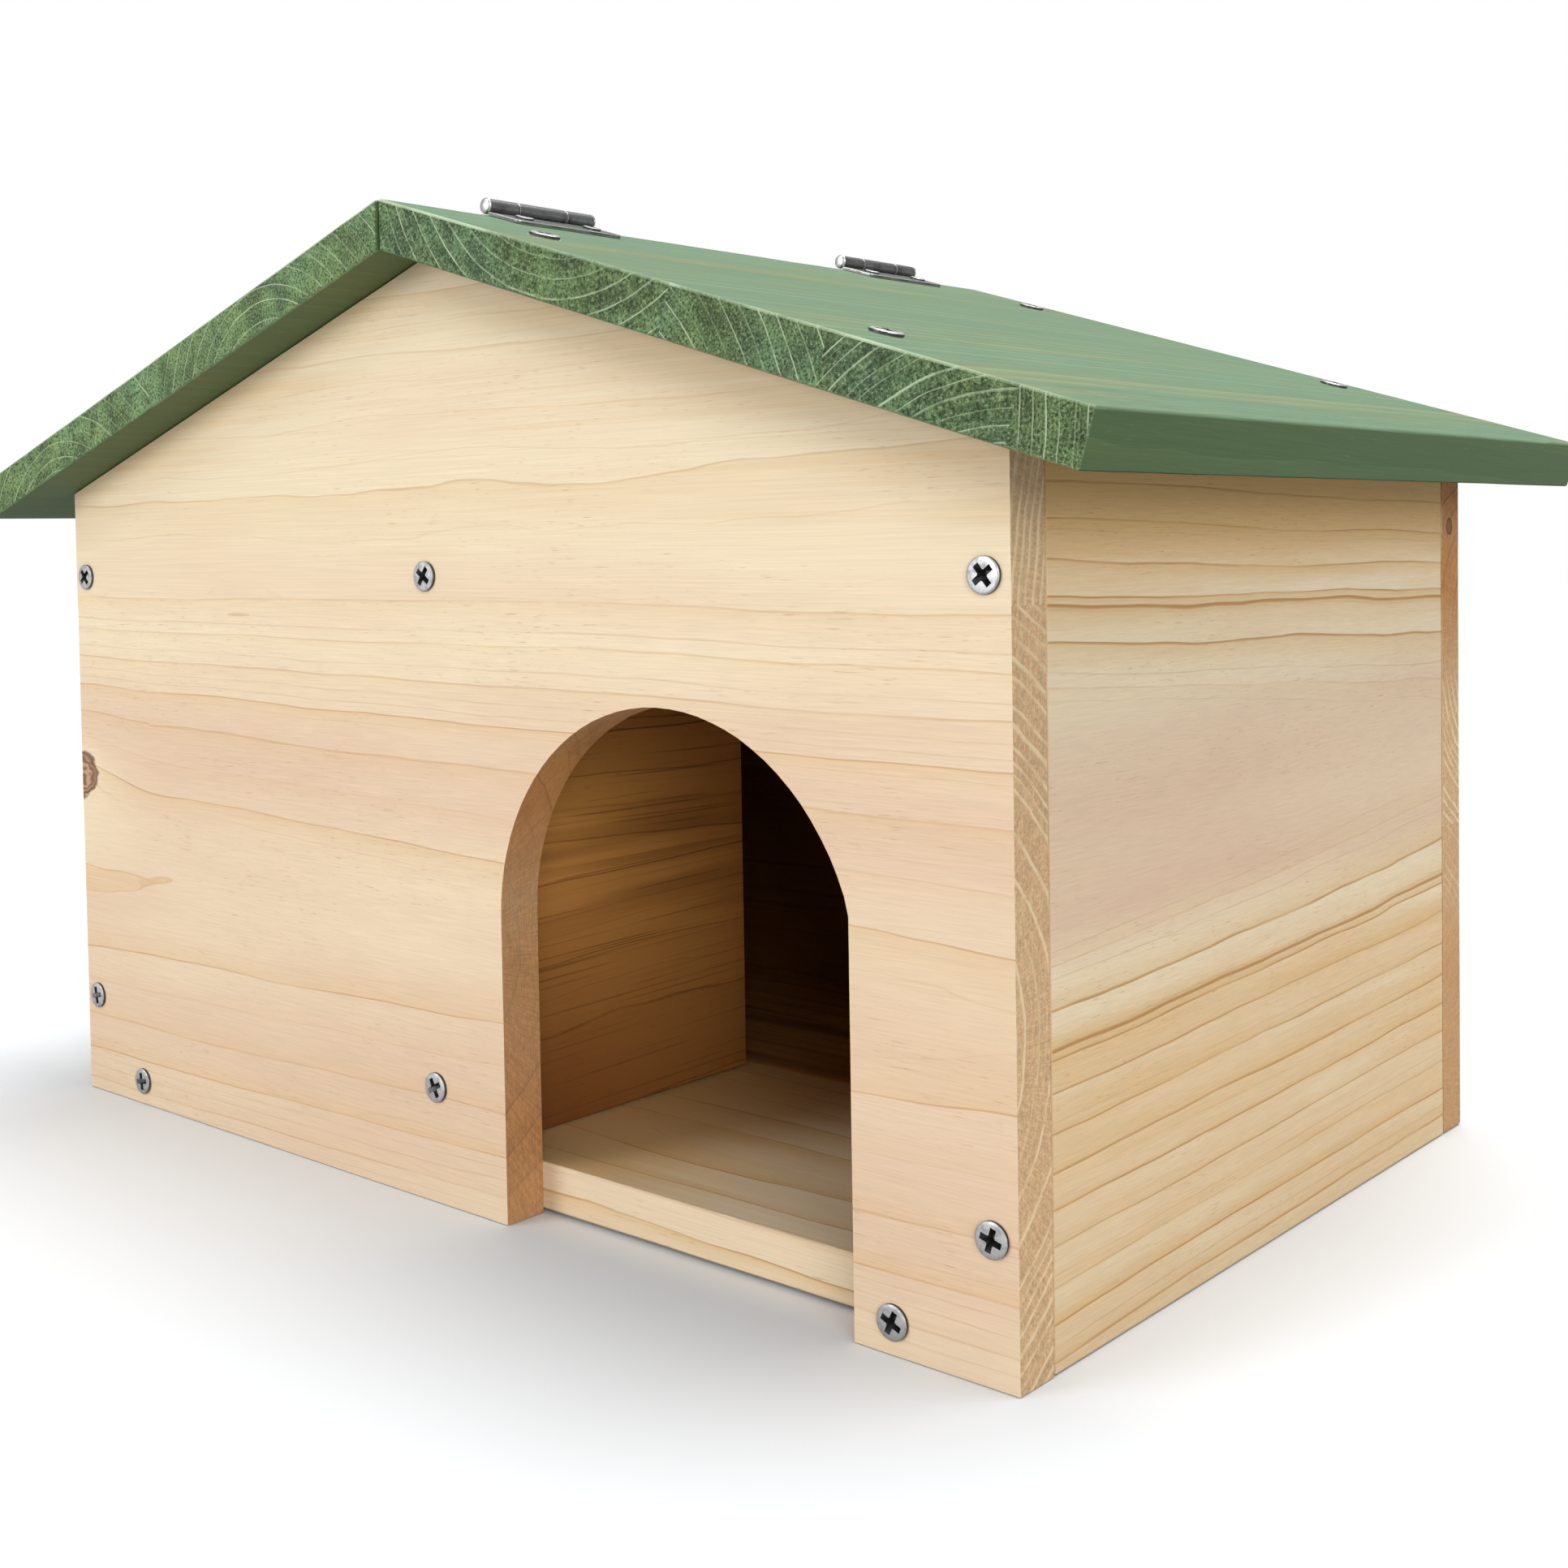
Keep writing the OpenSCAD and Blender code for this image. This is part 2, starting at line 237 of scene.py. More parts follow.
class Net:
    """Lays out shader nodes and joins them by socket or plain value."""

    columns = 14
    pitch = (200, -260)

    def __init__(self, tree):
        self.tree = tree
        self.count = 0

    def add(self, kind, **settings):
        node = self.tree.nodes.new(kind)
        for key, value in settings.items():
            setattr(node, key, value)
        row, column = divmod(self.count, self.columns)
        node.location = (self.pitch[0] * column, self.pitch[1] * row)
        self.count += 1
        return node

    def feed(self, socket, value):
        """Links a socket or sets its value; colours are given without alpha."""
        if isinstance(value, bpy.types.NodeSocket):
            self.tree.links.new(value, socket)
        elif value is not None:
            socket.default_value = (*value, 1.0) if socket.type == "RGBA" else value

    def join(self, node, *values):
        """Feeds a node's first inputs in order and gives its first output."""
        for socket, value in zip(node.inputs, values):
            self.feed(socket, value)
        return node.outputs[0]

    def plug(self, node, **values):
        """Feeds a node's inputs by label, with underscores for spaces."""
        for label, value in values.items():
            self.feed(node.inputs[label.replace("_", " ")], value)
        return node.outputs

    def math(self, operation, a, b=None, clamp=False):
        return self.join(self.add("ShaderNodeMath", operation=operation, use_clamp=clamp), a, b)

    def less(self, a, b, clamp=False):
        return self.math("SUBTRACT", a, b, clamp)

    def over(self, a, b):
        return self.math("DIVIDE", a, b)

    def total(self, first, *others):
        for other in others:
            first = self.math("ADD", first, other)
        return first

    def product(self, first, *others):
        for other in others:
            first = self.math("MULTIPLY", first, other)
        return first

    def stretch(self, place, along, across, depth=None):
        node = self.add("ShaderNodeVectorMath", operation="MULTIPLY")
        return self.join(node, place, (along, across, across if depth is None else depth))

    def noise(self, place, detail=2.0, roughness=0.5, line=False):
        node = self.add("ShaderNodeTexNoise", noise_dimensions="1D" if line else "3D")
        self.feed(node.inputs["W" if line else "Vector"], place)
        return self.plug(node, Scale=1.0, Detail=detail, Roughness=roughness)["Fac"]

    def span(self, value, low, high, to_low=0.0, to_high=1.0, smooth=True):
        kind = "SMOOTHSTEP" if smooth else "LINEAR"
        node = self.add("ShaderNodeMapRange", interpolation_type=kind)
        return self.join(node, value, low, high, to_low, to_high)

    def mix(self, amount, a, b):
        node = self.add("ShaderNodeMix", data_type="RGBA")
        for index, value in ((0, amount), (6, a), (7, b)):
            self.feed(node.inputs[index], value)
        return node.outputs[2]

    def coats(self, base, *layers):
        """Lays colours over a base one after another, each by its own amount."""
        for amount, layer in layers:
            base = self.mix(amount, base, layer)
        return base

    def scale(self, base, *values):
        """Multiplies a colour or a place by one value after another."""
        for value in values:
            node = self.add("ShaderNodeVectorMath", operation="SCALE")
            self.feed(node.inputs[0], base)
            base = self.plug(node, Scale=value)[0]
        return base

    def attribute(self, name):
        return self.add("ShaderNodeAttribute", attribute_name=name).outputs["Vector"]

    def split(self, vector):
        node = self.add("ShaderNodeSeparateXYZ")
        self.feed(node.inputs[0], vector)
        return node.outputs

    def relief(self, height, strength, distance):
        """Normal of a surface with fine relief."""
        node = self.add("ShaderNodeBump")
        return self.plug(node, Strength=strength, Distance=distance, Height=height)[0]

    def group(self, tree, **values):
        return self.plug(self.add("ShaderNodeGroup", node_tree=tree), **values)


def shader_group(name, inputs, outputs):
    """New shader node group: its Net, its given values and its output node."""
    tree = bpy.data.node_groups.new(name, "ShaderNodeTree")
    for label, default in inputs.items():
        socket = tree.interface.new_socket(
            name=label, in_out="INPUT", socket_type="NodeSocketFloat",
        )
        socket.default_value = default
    for label in outputs:
        tree.interface.new_socket(name=label, in_out="OUTPUT", socket_type="NodeSocketFloat")
    net = Net(tree)
    return net, net.add("NodeGroupInput").outputs, net.add("NodeGroupOutput")


def growth_rings():
    """Ring lines, fibre, flecks and knots from the boards' grain coordinates, in millimetres."""
    name = "growth_rings"
    if name in bpy.data.node_groups:
        return bpy.data.node_groups[name]
    net, given, out = shader_group(
        name, {"Warp": 4.0, "Wobble": 1.2, "Rarity": 1.0, "Width": 0.6},
        (
            "Band", "Line", "Hair", "Fibre", "Fleck", "Pores", "Patch", "Rays", "Cloud", "Streak",
            "Thread", "Stripe", "Saw", "Knot", "Rim", "Pin", "Halo", "End", "Arris", "Tone",
        ),
    )
    grain = net.attribute("grain")
    along, across, depth = net.split(grain)
    knot_along, knot_across, knot_size = net.split(net.attribute("knot"))
    gap, tone, strength = net.split(net.attribute("stave"))
    end, arris, phase = net.split(net.attribute("cut"))
    strength = net.math("MAXIMUM", strength, end)
    quiet, knot_depth, broad = net.split(net.attribute("zone"))
    flow_along, flow_across, mark = net.split(net.attribute("flow"))

    def grown(along, across, detail=2.0, rough=0.5):
        return net.noise(net.stretch(grain, along, across), detail, rough)

    def squares(*values):
        return net.total(*[net.math("POWER", v, 2.0) for v in values])

    def bump_at(distance):
        """Thin line beside a ring's outer edge, by distance in line widths."""
        return net.product(net.span(distance, 0.05, 0.5), net.span(distance, 0.9, 2.1, 1.0, 0.0))

    def lottery(number):
        node = net.add("ShaderNodeTexWhiteNoise", noise_dimensions="1D")
        return net.plug(node, W=net.math("ADD", number, net.product(phase, 31.7)))["Value"]

    knot_ratio = net.over(
        net.math("SQRT", squares(knot_along, knot_across, knot_depth)), knot_size,
    )
    ripple = net.less(grown(0.16, 0.3, 2.0), 0.5)
    knot_rough = net.math("ADD", knot_ratio, net.product(ripple, 0.7))
    pull = net.math("EXPONENT", net.product(squares(flow_along, flow_across), -1.0))
    across_near = net.less(across, net.product(flow_across, knot_size, 2.4, pull, 0.9))

    slow = net.less(grown(0.0042, 0.017, 1.0), 0.5)
    quick = net.less(grown(0.019, 0.085, 2.0), 0.5)
    plain_radius = net.math("SQRT", squares(across_near, depth))
    radius = net.total(
        plain_radius, net.product(slow, given["Warp"], 2.0),
        net.product(quick, given["Wobble"], 2.0),
    )
    slope = net.over(
        net.math(
            "SQRT",
            squares(net.product(broad, across_near), net.product(net.less(1.0, broad), depth)),
        ),
        plain_radius,
    )
    slope = net.math("MAXIMUM", net.math("MAXIMUM", slope, end), 0.16)
    turn = net.total(net.over(radius, gap), phase)
    uneven = net.less(
        net.noise(net.math("ADD", net.product(turn, 0.8), phase), 0.0, line=True), 0.5,
    )
    turn = net.math("ADD", turn, net.product(uneven, 0.4))
    part = net.math("FRACT", turn)
    rarity = net.over(given["Rarity"], net.math("POWER", strength, 2.0))
    weight = net.span(
        net.math("POWER", lottery(net.math("FLOOR", turn)), rarity), 0.0, 1.0, 0.14, 1.0,
        smooth=False,
    )
    shown = net.product(
        net.math("MINIMUM", strength, 1.0), net.span(net.less(radius, quiet), -1.2, 1.2),
    )
    broken = net.span(grown(0.014, 0.16, 2.0), 0.32, 0.6, 0.4, 1.0)
    wide = net.product(given["Width"], net.span(end, 0.0, 1.0, 1.0, 1.6))
    width = net.over(net.product(slope, wide), gap)
    away = net.over(net.less(1.0, part), width)
    line = net.product(bump_at(away), weight, broken, shown)
    band = net.product(net.math("POWER", part, 2.5), net.span(away, 0.0, 0.45), weight, shown)
    inner = net.product(turn, 3.0)
    inner_away = net.over(
        net.less(1.0, net.math("FRACT", inner)),
        net.product(width, net.span(end, 0.0, 1.0, 2.2, 3.4)),
    )
    hair = net.product(
        bump_at(inner_away),
        net.span(
            net.math("ADD", lottery(net.math("FLOOR", inner)), net.product(end, 0.35)), 0.35, 1.0,
        ),
        broken, shown,
    )
    mark_away = net.over(net.less(mark, radius), slope)
    marked = net.math("GREATER_THAN", mark, 0.0)
    line = net.math("MAXIMUM", line, net.product(bump_at(net.product(mark_away, 1.5)), marked))
    mark_band = net.product(
        net.span(mark_away, 0.0, 0.5), net.math("EXPONENT", net.product(mark_away, -0.3)),
        net.span(mark_away, 6.0, 14.0, 1.0, 0.0), marked,
    )
    band = net.math("MAXIMUM", band, mark_band)

    rays = net.join(
        net.add("ShaderNodeCombineXYZ"), net.product(radius, 0.16),
        net.product(net.math("ARCTAN2", across, depth), 110.0), net.product(along, 0.02),
    )
    fleck = net.product(
        net.span(grown(0.17, 3.0, 1.0), 0.65, 0.77), net.span(grown(0.012, 0.05, 1.0), 0.4, 0.6),
    )
    knot = net.span(knot_rough, 0.8, 1.04, 1.0, 0.0)
    pin = net.span(knot_size, 0.8, 3.0, 1.0, 0.0)
    thick = net.less(1.0, pin)
    rim = net.product(net.span(knot_rough, 0.55, 0.85), knot)
    halo = net.math("MAXIMUM", pull, net.span(knot_rough, 1.0, 2.2, 0.9, 0.0))
    swirl = net.math("SINE", net.total(net.product(knot_rough, 15.0), net.product(ripple, 5.0)))
    net.plug(
        out, Band=band, Line=line, Hair=hair, Fibre=grown(0.03, 2.4, 3.0, 0.6), Fleck=fleck,
        Pores=grown(0.5, 1.5, 3.0, 0.75), Patch=grown(0.1, 0.13, 2.0, 0.6),
        Rays=net.noise(rays, 2.0, 0.6), Cloud=grown(0.006, 0.035, 2.0),
        Streak=grown(0.0032, 0.045, 3.0, 0.55),
        Thread=net.span(grown(0.011, 1.0, 2.0), 0.58, 0.7), Stripe=grown(0.0045, 0.24, 3.0, 0.6),
        Saw=net.noise(net.stretch(grain, 0.5, 0.25, 4.0), 2.0, 0.6),
        Knot=net.product(knot, net.span(swirl, -1.0, 1.0, 0.55, 1.0)),
        Rim=net.product(rim, thick), Pin=pin, Halo=net.product(halo, thick), End=end, Arris=arris,
        Tone=tone,
    )
    return net.tree


def new_material(name):
    """Empty node material with its Principled shader and a Net."""
    material = bpy.data.materials.new(name)
    material.use_nodes = True
    material.node_tree.nodes.clear()
    net = Net(material.node_tree)
    shader = net.add("ShaderNodeBsdfPrincipled")
    net.plug(net.add("ShaderNodeOutputMaterial"), Surface=shader.outputs[0])
    return material, net, shader


def natural_wood():
    """Planed, untreated softwood."""
    name = "natural_wood_planed"
    if name in bpy.data.materials:
        return bpy.data.materials[name]
    look = finishes()
    material, net, shader = new_material(name)
    ring = net.group(growth_rings(), Warp=3.2, Wobble=1.1, Rarity=1.5, Width=0.38)
    tone = ring["Tone"]
    clouds = net.product(net.less(ring["Cloud"], 0.5), 1.2)
    stripes = net.product(net.less(ring["Stripe"], 0.54), 1.2)
    warm = net.math("ADD", tone, clouds, clamp=True)
    gold = net.less(net.total(stripes, net.product(clouds, 0.5)), tone, clamp=True)
    # Amber below -1, and brown and dark red above 1, mostly carry painted shade: inside the
    # house, in the doorway, on the partition and under the eave.
    amber = net.less(-1.0, tone, clamp=True)
    brown = net.less(tone, 1.0, clamp=True)
    red = net.less(tone, 2.0, clamp=True)
    patches = net.product(brown, net.span(ring["Streak"], 0.48, 0.66, 0.0, 0.55))

    # Long grain
    band = net.mix(brown, look.band_wood, look.inner_band)
    line = net.mix(brown, look.line_wood, look.inner_line)
    soft = net.span(brown, 0.0, 1.0, 0.75, 0.16)
    crisp = net.span(brown, 0.0, 1.0, 0.85, 0.6)
    long_grain = net.less(1.0, ring["End"])
    base = net.coats(
        look.pale_wood, (warm, look.warm_wood), (gold, look.gold_wood), (amber, look.band_wood),
        (brown, look.inner_wood), (net.math("MAXIMUM", red, patches), look.inner_band),
        (net.product(ring["Halo"], 0.75), look.pale_wood),
        (net.product(ring["Band"], soft), band), (net.product(ring["Hair"], 0.28), line),
        (net.product(ring["Line"], crisp), line), (net.product(ring["Thread"], brown, 0.5), line),
        (net.product(ring["Fleck"], long_grain, 0.42), line),
    )
    base = net.scale(base, net.span(ring["Fibre"], 0.25, 0.75, 0.94, 1.045))

    # Sawn end grain
    coarse = net.span(brown, 0.0, 0.6, 0.22, 0.09)
    grit = net.product(net.span(ring["Pores"], 0.3, 0.7, -1.0, 1.0), coarse)
    sawn = net.scale(
        net.mix(brown, look.end_wood, look.inner_end), net.math("ADD", 1.0, grit),
        net.span(ring["Saw"], 0.3, 0.7, 0.86, 1.13), net.span(ring["Rays"], 0.3, 0.7, 0.88, 1.1),
    )
    hard = net.mix(brown, look.end_line, look.inner_line)
    fine = net.span(brown, 0.0, 0.6, 0.85, 0.12)
    strong = net.span(brown, 0.0, 0.6, 0.9, 0.6)
    sawn = net.coats(
        sawn, (net.product(ring["Band"], 0.3), hard), (net.product(ring["Hair"], fine), hard),
        (net.product(ring["Line"], strong), hard),
    )

    # Knots, and darker upper edges
    heart = net.mix(ring["Pin"], look.knot_wood, look.line_wood)
    hold = net.span(ring["Pin"], 0.0, 1.0, 1.0, 0.42)
    base = net.coats(
        base, (net.product(ring["End"], 0.9), sawn), (net.product(ring["Knot"], hold), heart),
        (net.product(ring["Rim"], hold, 0.7), look.knot_rim),
    )
    rough = net.total(
        0.5, net.product(ring["Fibre"], 0.14), net.product(ring["End"], 0.2),
        net.product(ring["Line"], -0.1),
    )
    height = net.total(
        net.product(ring["Fibre"], 0.5), net.product(ring["Line"], 0.6),
        net.product(ring["Fleck"], -0.5), net.product(ring["Pores"], ring["End"], 1.6),
    )
    # The base colour is up to a sixth darker on the upper rounded edges.
    net.plug(
        shader, Base_Color=net.scale(base, net.span(ring["Arris"], 0.0, 1.0, 1.0, 0.84)),
        Roughness=rough, Specular_IOR_Level=0.32, Normal=net.relief(height, 0.35, 0.00022),
    )
    return material


def green_stained_wood():
    """The same softwood under a thin, matt green stain."""
    name = "green_stained_planed"
    if name in bpy.data.materials:
        return bpy.data.materials[name]
    look = finishes()
    material, net, shader = new_material(name)
    ring = net.group(growth_rings(), Warp=1.4, Wobble=0.5, Rarity=1.1, Width=0.16)
    tone = ring["Tone"]
    cool = net.span(ring["Cloud"], 0.36, 0.66)

    # Long grain
    planed = net.coats(
        look.stain_top, (net.product(cool, 0.5), look.stain_cool),
        (net.span(ring["Streak"], 0.5, 0.68, 0.0, 0.6), look.stain_rub),
        (net.product(ring["Band"], 0.35), look.stain_line),
        (net.product(ring["Line"], 0.5), look.stain_line),
    )
    planed = net.coats(
        net.scale(planed, net.span(ring["Fibre"], 0.28, 0.72, 0.82, 1.16)),
        (net.product(ring["Fleck"], 0.5), look.stain_line),
        # Painted shade: darker stain for tones below -0.2, on the eaves, undersides and ridge
        # seam.
        (net.span(tone, -0.5, -0.2, 0.66, 0.0), look.stain_shade),
        (net.span(tone, -1.0, -0.5, 0.75, 0.0), look.stain_deep),
    )

    # Sawn end grain
    sawn = net.scale(
        net.mix(net.product(cool, 0.45), look.stain_end, look.stain_cool),
        net.span(ring["Rays"], 0.3, 0.7, 0.75, 1.25), net.span(ring["Patch"], 0.3, 0.7, 0.6, 1.4),
        net.span(tone, -0.2, 0.4, 0.7, 1.24),
    )
    sawn = net.coats(
        sawn, (net.product(ring["Band"], 0.14), look.stain_line),
        (net.span(ring["Pores"], 0.39, 0.5, 0.95, 0.0), look.stain_deep),
        (net.span(ring["Pores"], 0.54, 0.66, 0.0, 0.75), look.stain_line),
        (net.product(ring["Line"], 0.9), look.stain_ring),
        (net.product(ring["Hair"], 0.2), look.stain_line),
    )

    # Painted highlight on the upper edges, and bare edges
    worn = net.product(ring["Arris"], net.span(ring["Cloud"], 0.4, 0.6, 0.2, 0.75))
    bare = net.span(tone, 0.5, 1.3, 0.0, 0.7)
    base = net.coats(planed, (ring["End"], sawn), (worn, look.stain_edge), (bare, look.bare_edge))
    rough = net.total(
        0.5, net.product(ring["Fibre"], 0.16), net.product(ring["End"], 0.3),
        net.span(tone, -0.9, -0.6, 0.3, 0.0),
        net.product(net.less(1.0, ring["End"]), ring["Line"], -0.08),
    )
    height = net.total(
        net.product(ring["Fibre"], 0.6), net.product(ring["Line"], 0.5),
        net.product(ring["Pores"], ring["End"], 2.4),
    )
    net.plug(
        shader, Base_Color=base, Roughness=rough, Specular_IOR_Level=0.52,
        Normal=net.relief(height, 0.5, 0.0003),
    )
    return material


def zinc_wear():
    """Dull patches, fine scratches and specks of zinc plate, by object place in metres."""
    name = "zinc_wear"
    if name in bpy.data.node_groups:
        return bpy.data.node_groups[name]
    net, given, out = shader_group(
        name, {"Patch Scale": 420.0, "Scratch Scale": 900.0}, ("Dull", "Scratch", "Speck"),
    )
    place = net.add("ShaderNodeTexCoord").outputs["Object"]

    def scaled(size, along=1.0):
        return net.scale(net.stretch(place, 1.0, along, 1.0), size)

    net.plug(
        out, Dull=net.span(net.noise(scaled(given["Patch Scale"]), 4.0, 0.6), 0.38, 0.66),
        Scratch=net.noise(scaled(given["Scratch Scale"], 9.0), 2.0),
        Speck=net.span(net.noise(scaled(2600.0), 1.0), 0.64, 0.74),
    )
    return net.tree


# Colours of the painted shade in a screw's recess and on its head's rim, and of the painted
# highlight on the hinges' rounded edges
RECESS_DARK = (0.03, 0.03, 0.032)
RUBBED_ZINC = (0.85, 0.85, 0.85)


def zinc_steel(name, patch, rough, bright, dull):
    """Zinc plated steel of the fittings."""
    if name in bpy.data.materials:
        return bpy.data.materials[name]
    material, net, shader = new_material(name)
    wear = net.group(zinc_wear(), Patch_Scale=patch)
    recess = net.add("ShaderNodeAttribute", attribute_name="recess").outputs["Fac"]
    base = net.coats(
        bright, (wear["Dull"], dull), (net.product(wear["Speck"], 0.5), [0.6 * c for c in dull]),
        # Painted shade where the mark is above 0, painted highlight where it is below 0.
        (net.math("MULTIPLY", recess, 0.85, clamp=True), RECESS_DARK),
        (net.math("MULTIPLY", recess, -0.8, clamp=True), RUBBED_ZINC),
    )
    net.plug(
        shader, Base_Color=base, Metallic=1.0, Normal=net.relief(wear["Scratch"], 0.18, 0.00006),
        Roughness=net.total(
            rough, net.product(wear["Dull"], 0.18), net.product(wear["Scratch"], 0.1),
        ),
    )
    return material


# Mesh helpers

# Angles in degrees from which the shading of boards, screws and hinges breaks
BOARD_SHARP, SCREW_SHARP, HINGE_SHARP = 48.0, 34.0, 40.0


def share(value):
    """The value, held between 0 and 1."""
    return min(max(value, 0.0), 1.0)


def around(radius, turn, height):
    """Point at a radius and a turn about Z."""
    return radius * math.cos(turn), radius * math.sin(turn), height


def prism(points, sweep):
    """Closed prism over a flat ring of points."""
    bm = bmesh.new()
    low = [bm.verts.new(p) for p in points]
    high = [bm.verts.new(Vector(p) + sweep) for p in points]
    bm.faces.new(low[::-1])
    bm.faces.new(high)
    for i in range(len(points)):
        j = (i + 1) % len(points)
        bm.faces.new((low[i], low[j], high[j], high[i]))
    bmesh.ops.recalc_face_normals(bm, faces=bm.faces)
    return bm


def revolve(profile, steps):
    """Closed solid of revolution about Z; the profile's first and last radius are zero."""
    bm = bmesh.new()
    rings = []
    for radius, height in profile:
        count = steps if radius else 1
        places = [around(radius, math.tau * i / steps, height) for i in range(count)]
        rings.append([bm.verts.new(place) for place in places])
    for one, two in zip(rings, rings[1:]):
        for i in range(steps):
            j = (i + 1) % steps
            corners = [one[i % len(one)], one[j % len(one)], two[j % len(two)], two[i % len(two)]]
            bm.faces.new(list(dict.fromkeys(corners)))
    bmesh.ops.recalc_face_normals(bm, faces=bm.faces)
    return bm


def round_edges(bm, sharp, amount, segments):
    """Rounds the edges that turn by more than an angle in radians."""
    bm.normal_update()
    edges = [e for e in bm.edges if e.is_manifold and e.calc_face_angle() > sharp]
    return bmesh.ops.bevel(
        bm, geom=edges, offset=amount, offset_type="OFFSET", segments=segments, profile=0.5,
        affect="EDGES", clamp_overlap=True,
    )


def to_mesh(bm, name):
    mesh = bpy.data.meshes.new(name)
    bm.to_mesh(mesh)
    bm.free()
    return mesh


def add_object(name, data):
    made = bpy.data.objects.new(name, data)
    bpy.context.scene.collection.objects.link(made)
    return made


def without(mesh, cutters):
    """Mesh with the cutter meshes taken out of it."""
    target = add_object("cut_target", mesh)
    helpers = [target]
    for cutter in cutters:
        helper = add_object("cut_helper", cutter)
        helpers.append(helper)
        step = target.modifiers.new("cut", "BOOLEAN")
        step.operation = "DIFFERENCE"
        step.solver = "EXACT"
        step.object = helper
    ready = target.evaluated_get(bpy.context.evaluated_depsgraph_get())
    result = bpy.data.meshes.new_from_object(ready)
    for helper in helpers:
        old = helper.data
        bpy.data.objects.remove(helper)
        bpy.data.meshes.remove(old)
    return result


def place_piece(mesh, node, ending, body, material, sharp=BOARD_SHARP):
    """Puts a finished mesh in the scene in place of a CAD node."""
    name = f"{node}_{ending}"
    if not mesh.polygons:
        raise RuntimeError(f"{name} has no faces")
    mesh.name = name
    mesh.materials.clear()
    mesh.materials.append(material)
    mesh.shade_smooth()
    mesh.set_sharp_from_angle(angle=math.radians(sharp))
    piece = add_object(name, mesh)
    weigh = piece.modifiers.new("even_shading", "WEIGHTED_NORMAL")
    weigh.keep_sharp = True
    weigh.weight = 80
    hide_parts(node)
    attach(piece, body)


# Boards

# Millimetres of grain between staves and between boards, so that no two look alike
STAVE_SHIFT, BOARD_SHIFT = 977.0, 613.0
# Length in millimetres of the pieces that a board's mesh is cut into along the grain
SLICE = 14.0
# Place of a knot that is out of reach, in millimetres and in radii
NO_KNOT, NO_FLOW = 9999.0, 99.0
# Reach of the parted grain around a knot along and across, in radii
FLOW_LONG, FLOW_WIDE = 3.0, 2.4
# Waves to a metre of the coarse and the fine edge wear, and their shift between boards
WEAR_COARSE, WEAR_FINE, WEAR_SHIFT = 90.0, 410.0, 3.1
# Least part of a face's normal along an axis, for a face that looks that way
LOOKS = 0.7
# Turn in radians from which a board's edge is rounded
BOARD_EDGE = 0.6
# Parts of a face's normal along Y, and least part upwards, on an upper edge, where the stain is
# lighter as a painted highlight and the natural wood is darker
WORN_FROM, WORN_TO, WORN_UP = 0.12, 0.97, 0.2
# Depths of the screw holes in the boards, and of the hinge screws' in the roof and a leaf
HOLE_DEEP, LEAF_HOLE_DEEP, PLATE_HOLE_DEEP = 0.02, 0.0098, 0.005
# Ease of the holes around the screw heads, and around those in the roof
HEAD_EASE, ROOF_EASE = 0.00012, 0.0005


class Stave(NamedTuple):
    """One glued strip of a board: where it ends across the board, and its rings."""

    reach: float
    pith: tuple
    gap: float
    phase: float = 0.0
    lean: tuple = (0.0, 0.0)
    tone: float = 0.3
    line: float = 1.0
    quiet: float = 0.0
    mark: float = 0.0


class Knot(NamedTuple):
    """A knot's place along and across the board, its radius and its stretch along the grain.

    A knot with a depth is a small one that shows in end grain; the others go through the board.
    The grain parts around a point that lies a drop below the knot's heart.
    """

    along: float
    across: float
    radius: float
    long: float = 0.62
    depth: float = None
    drop: float = 0.0


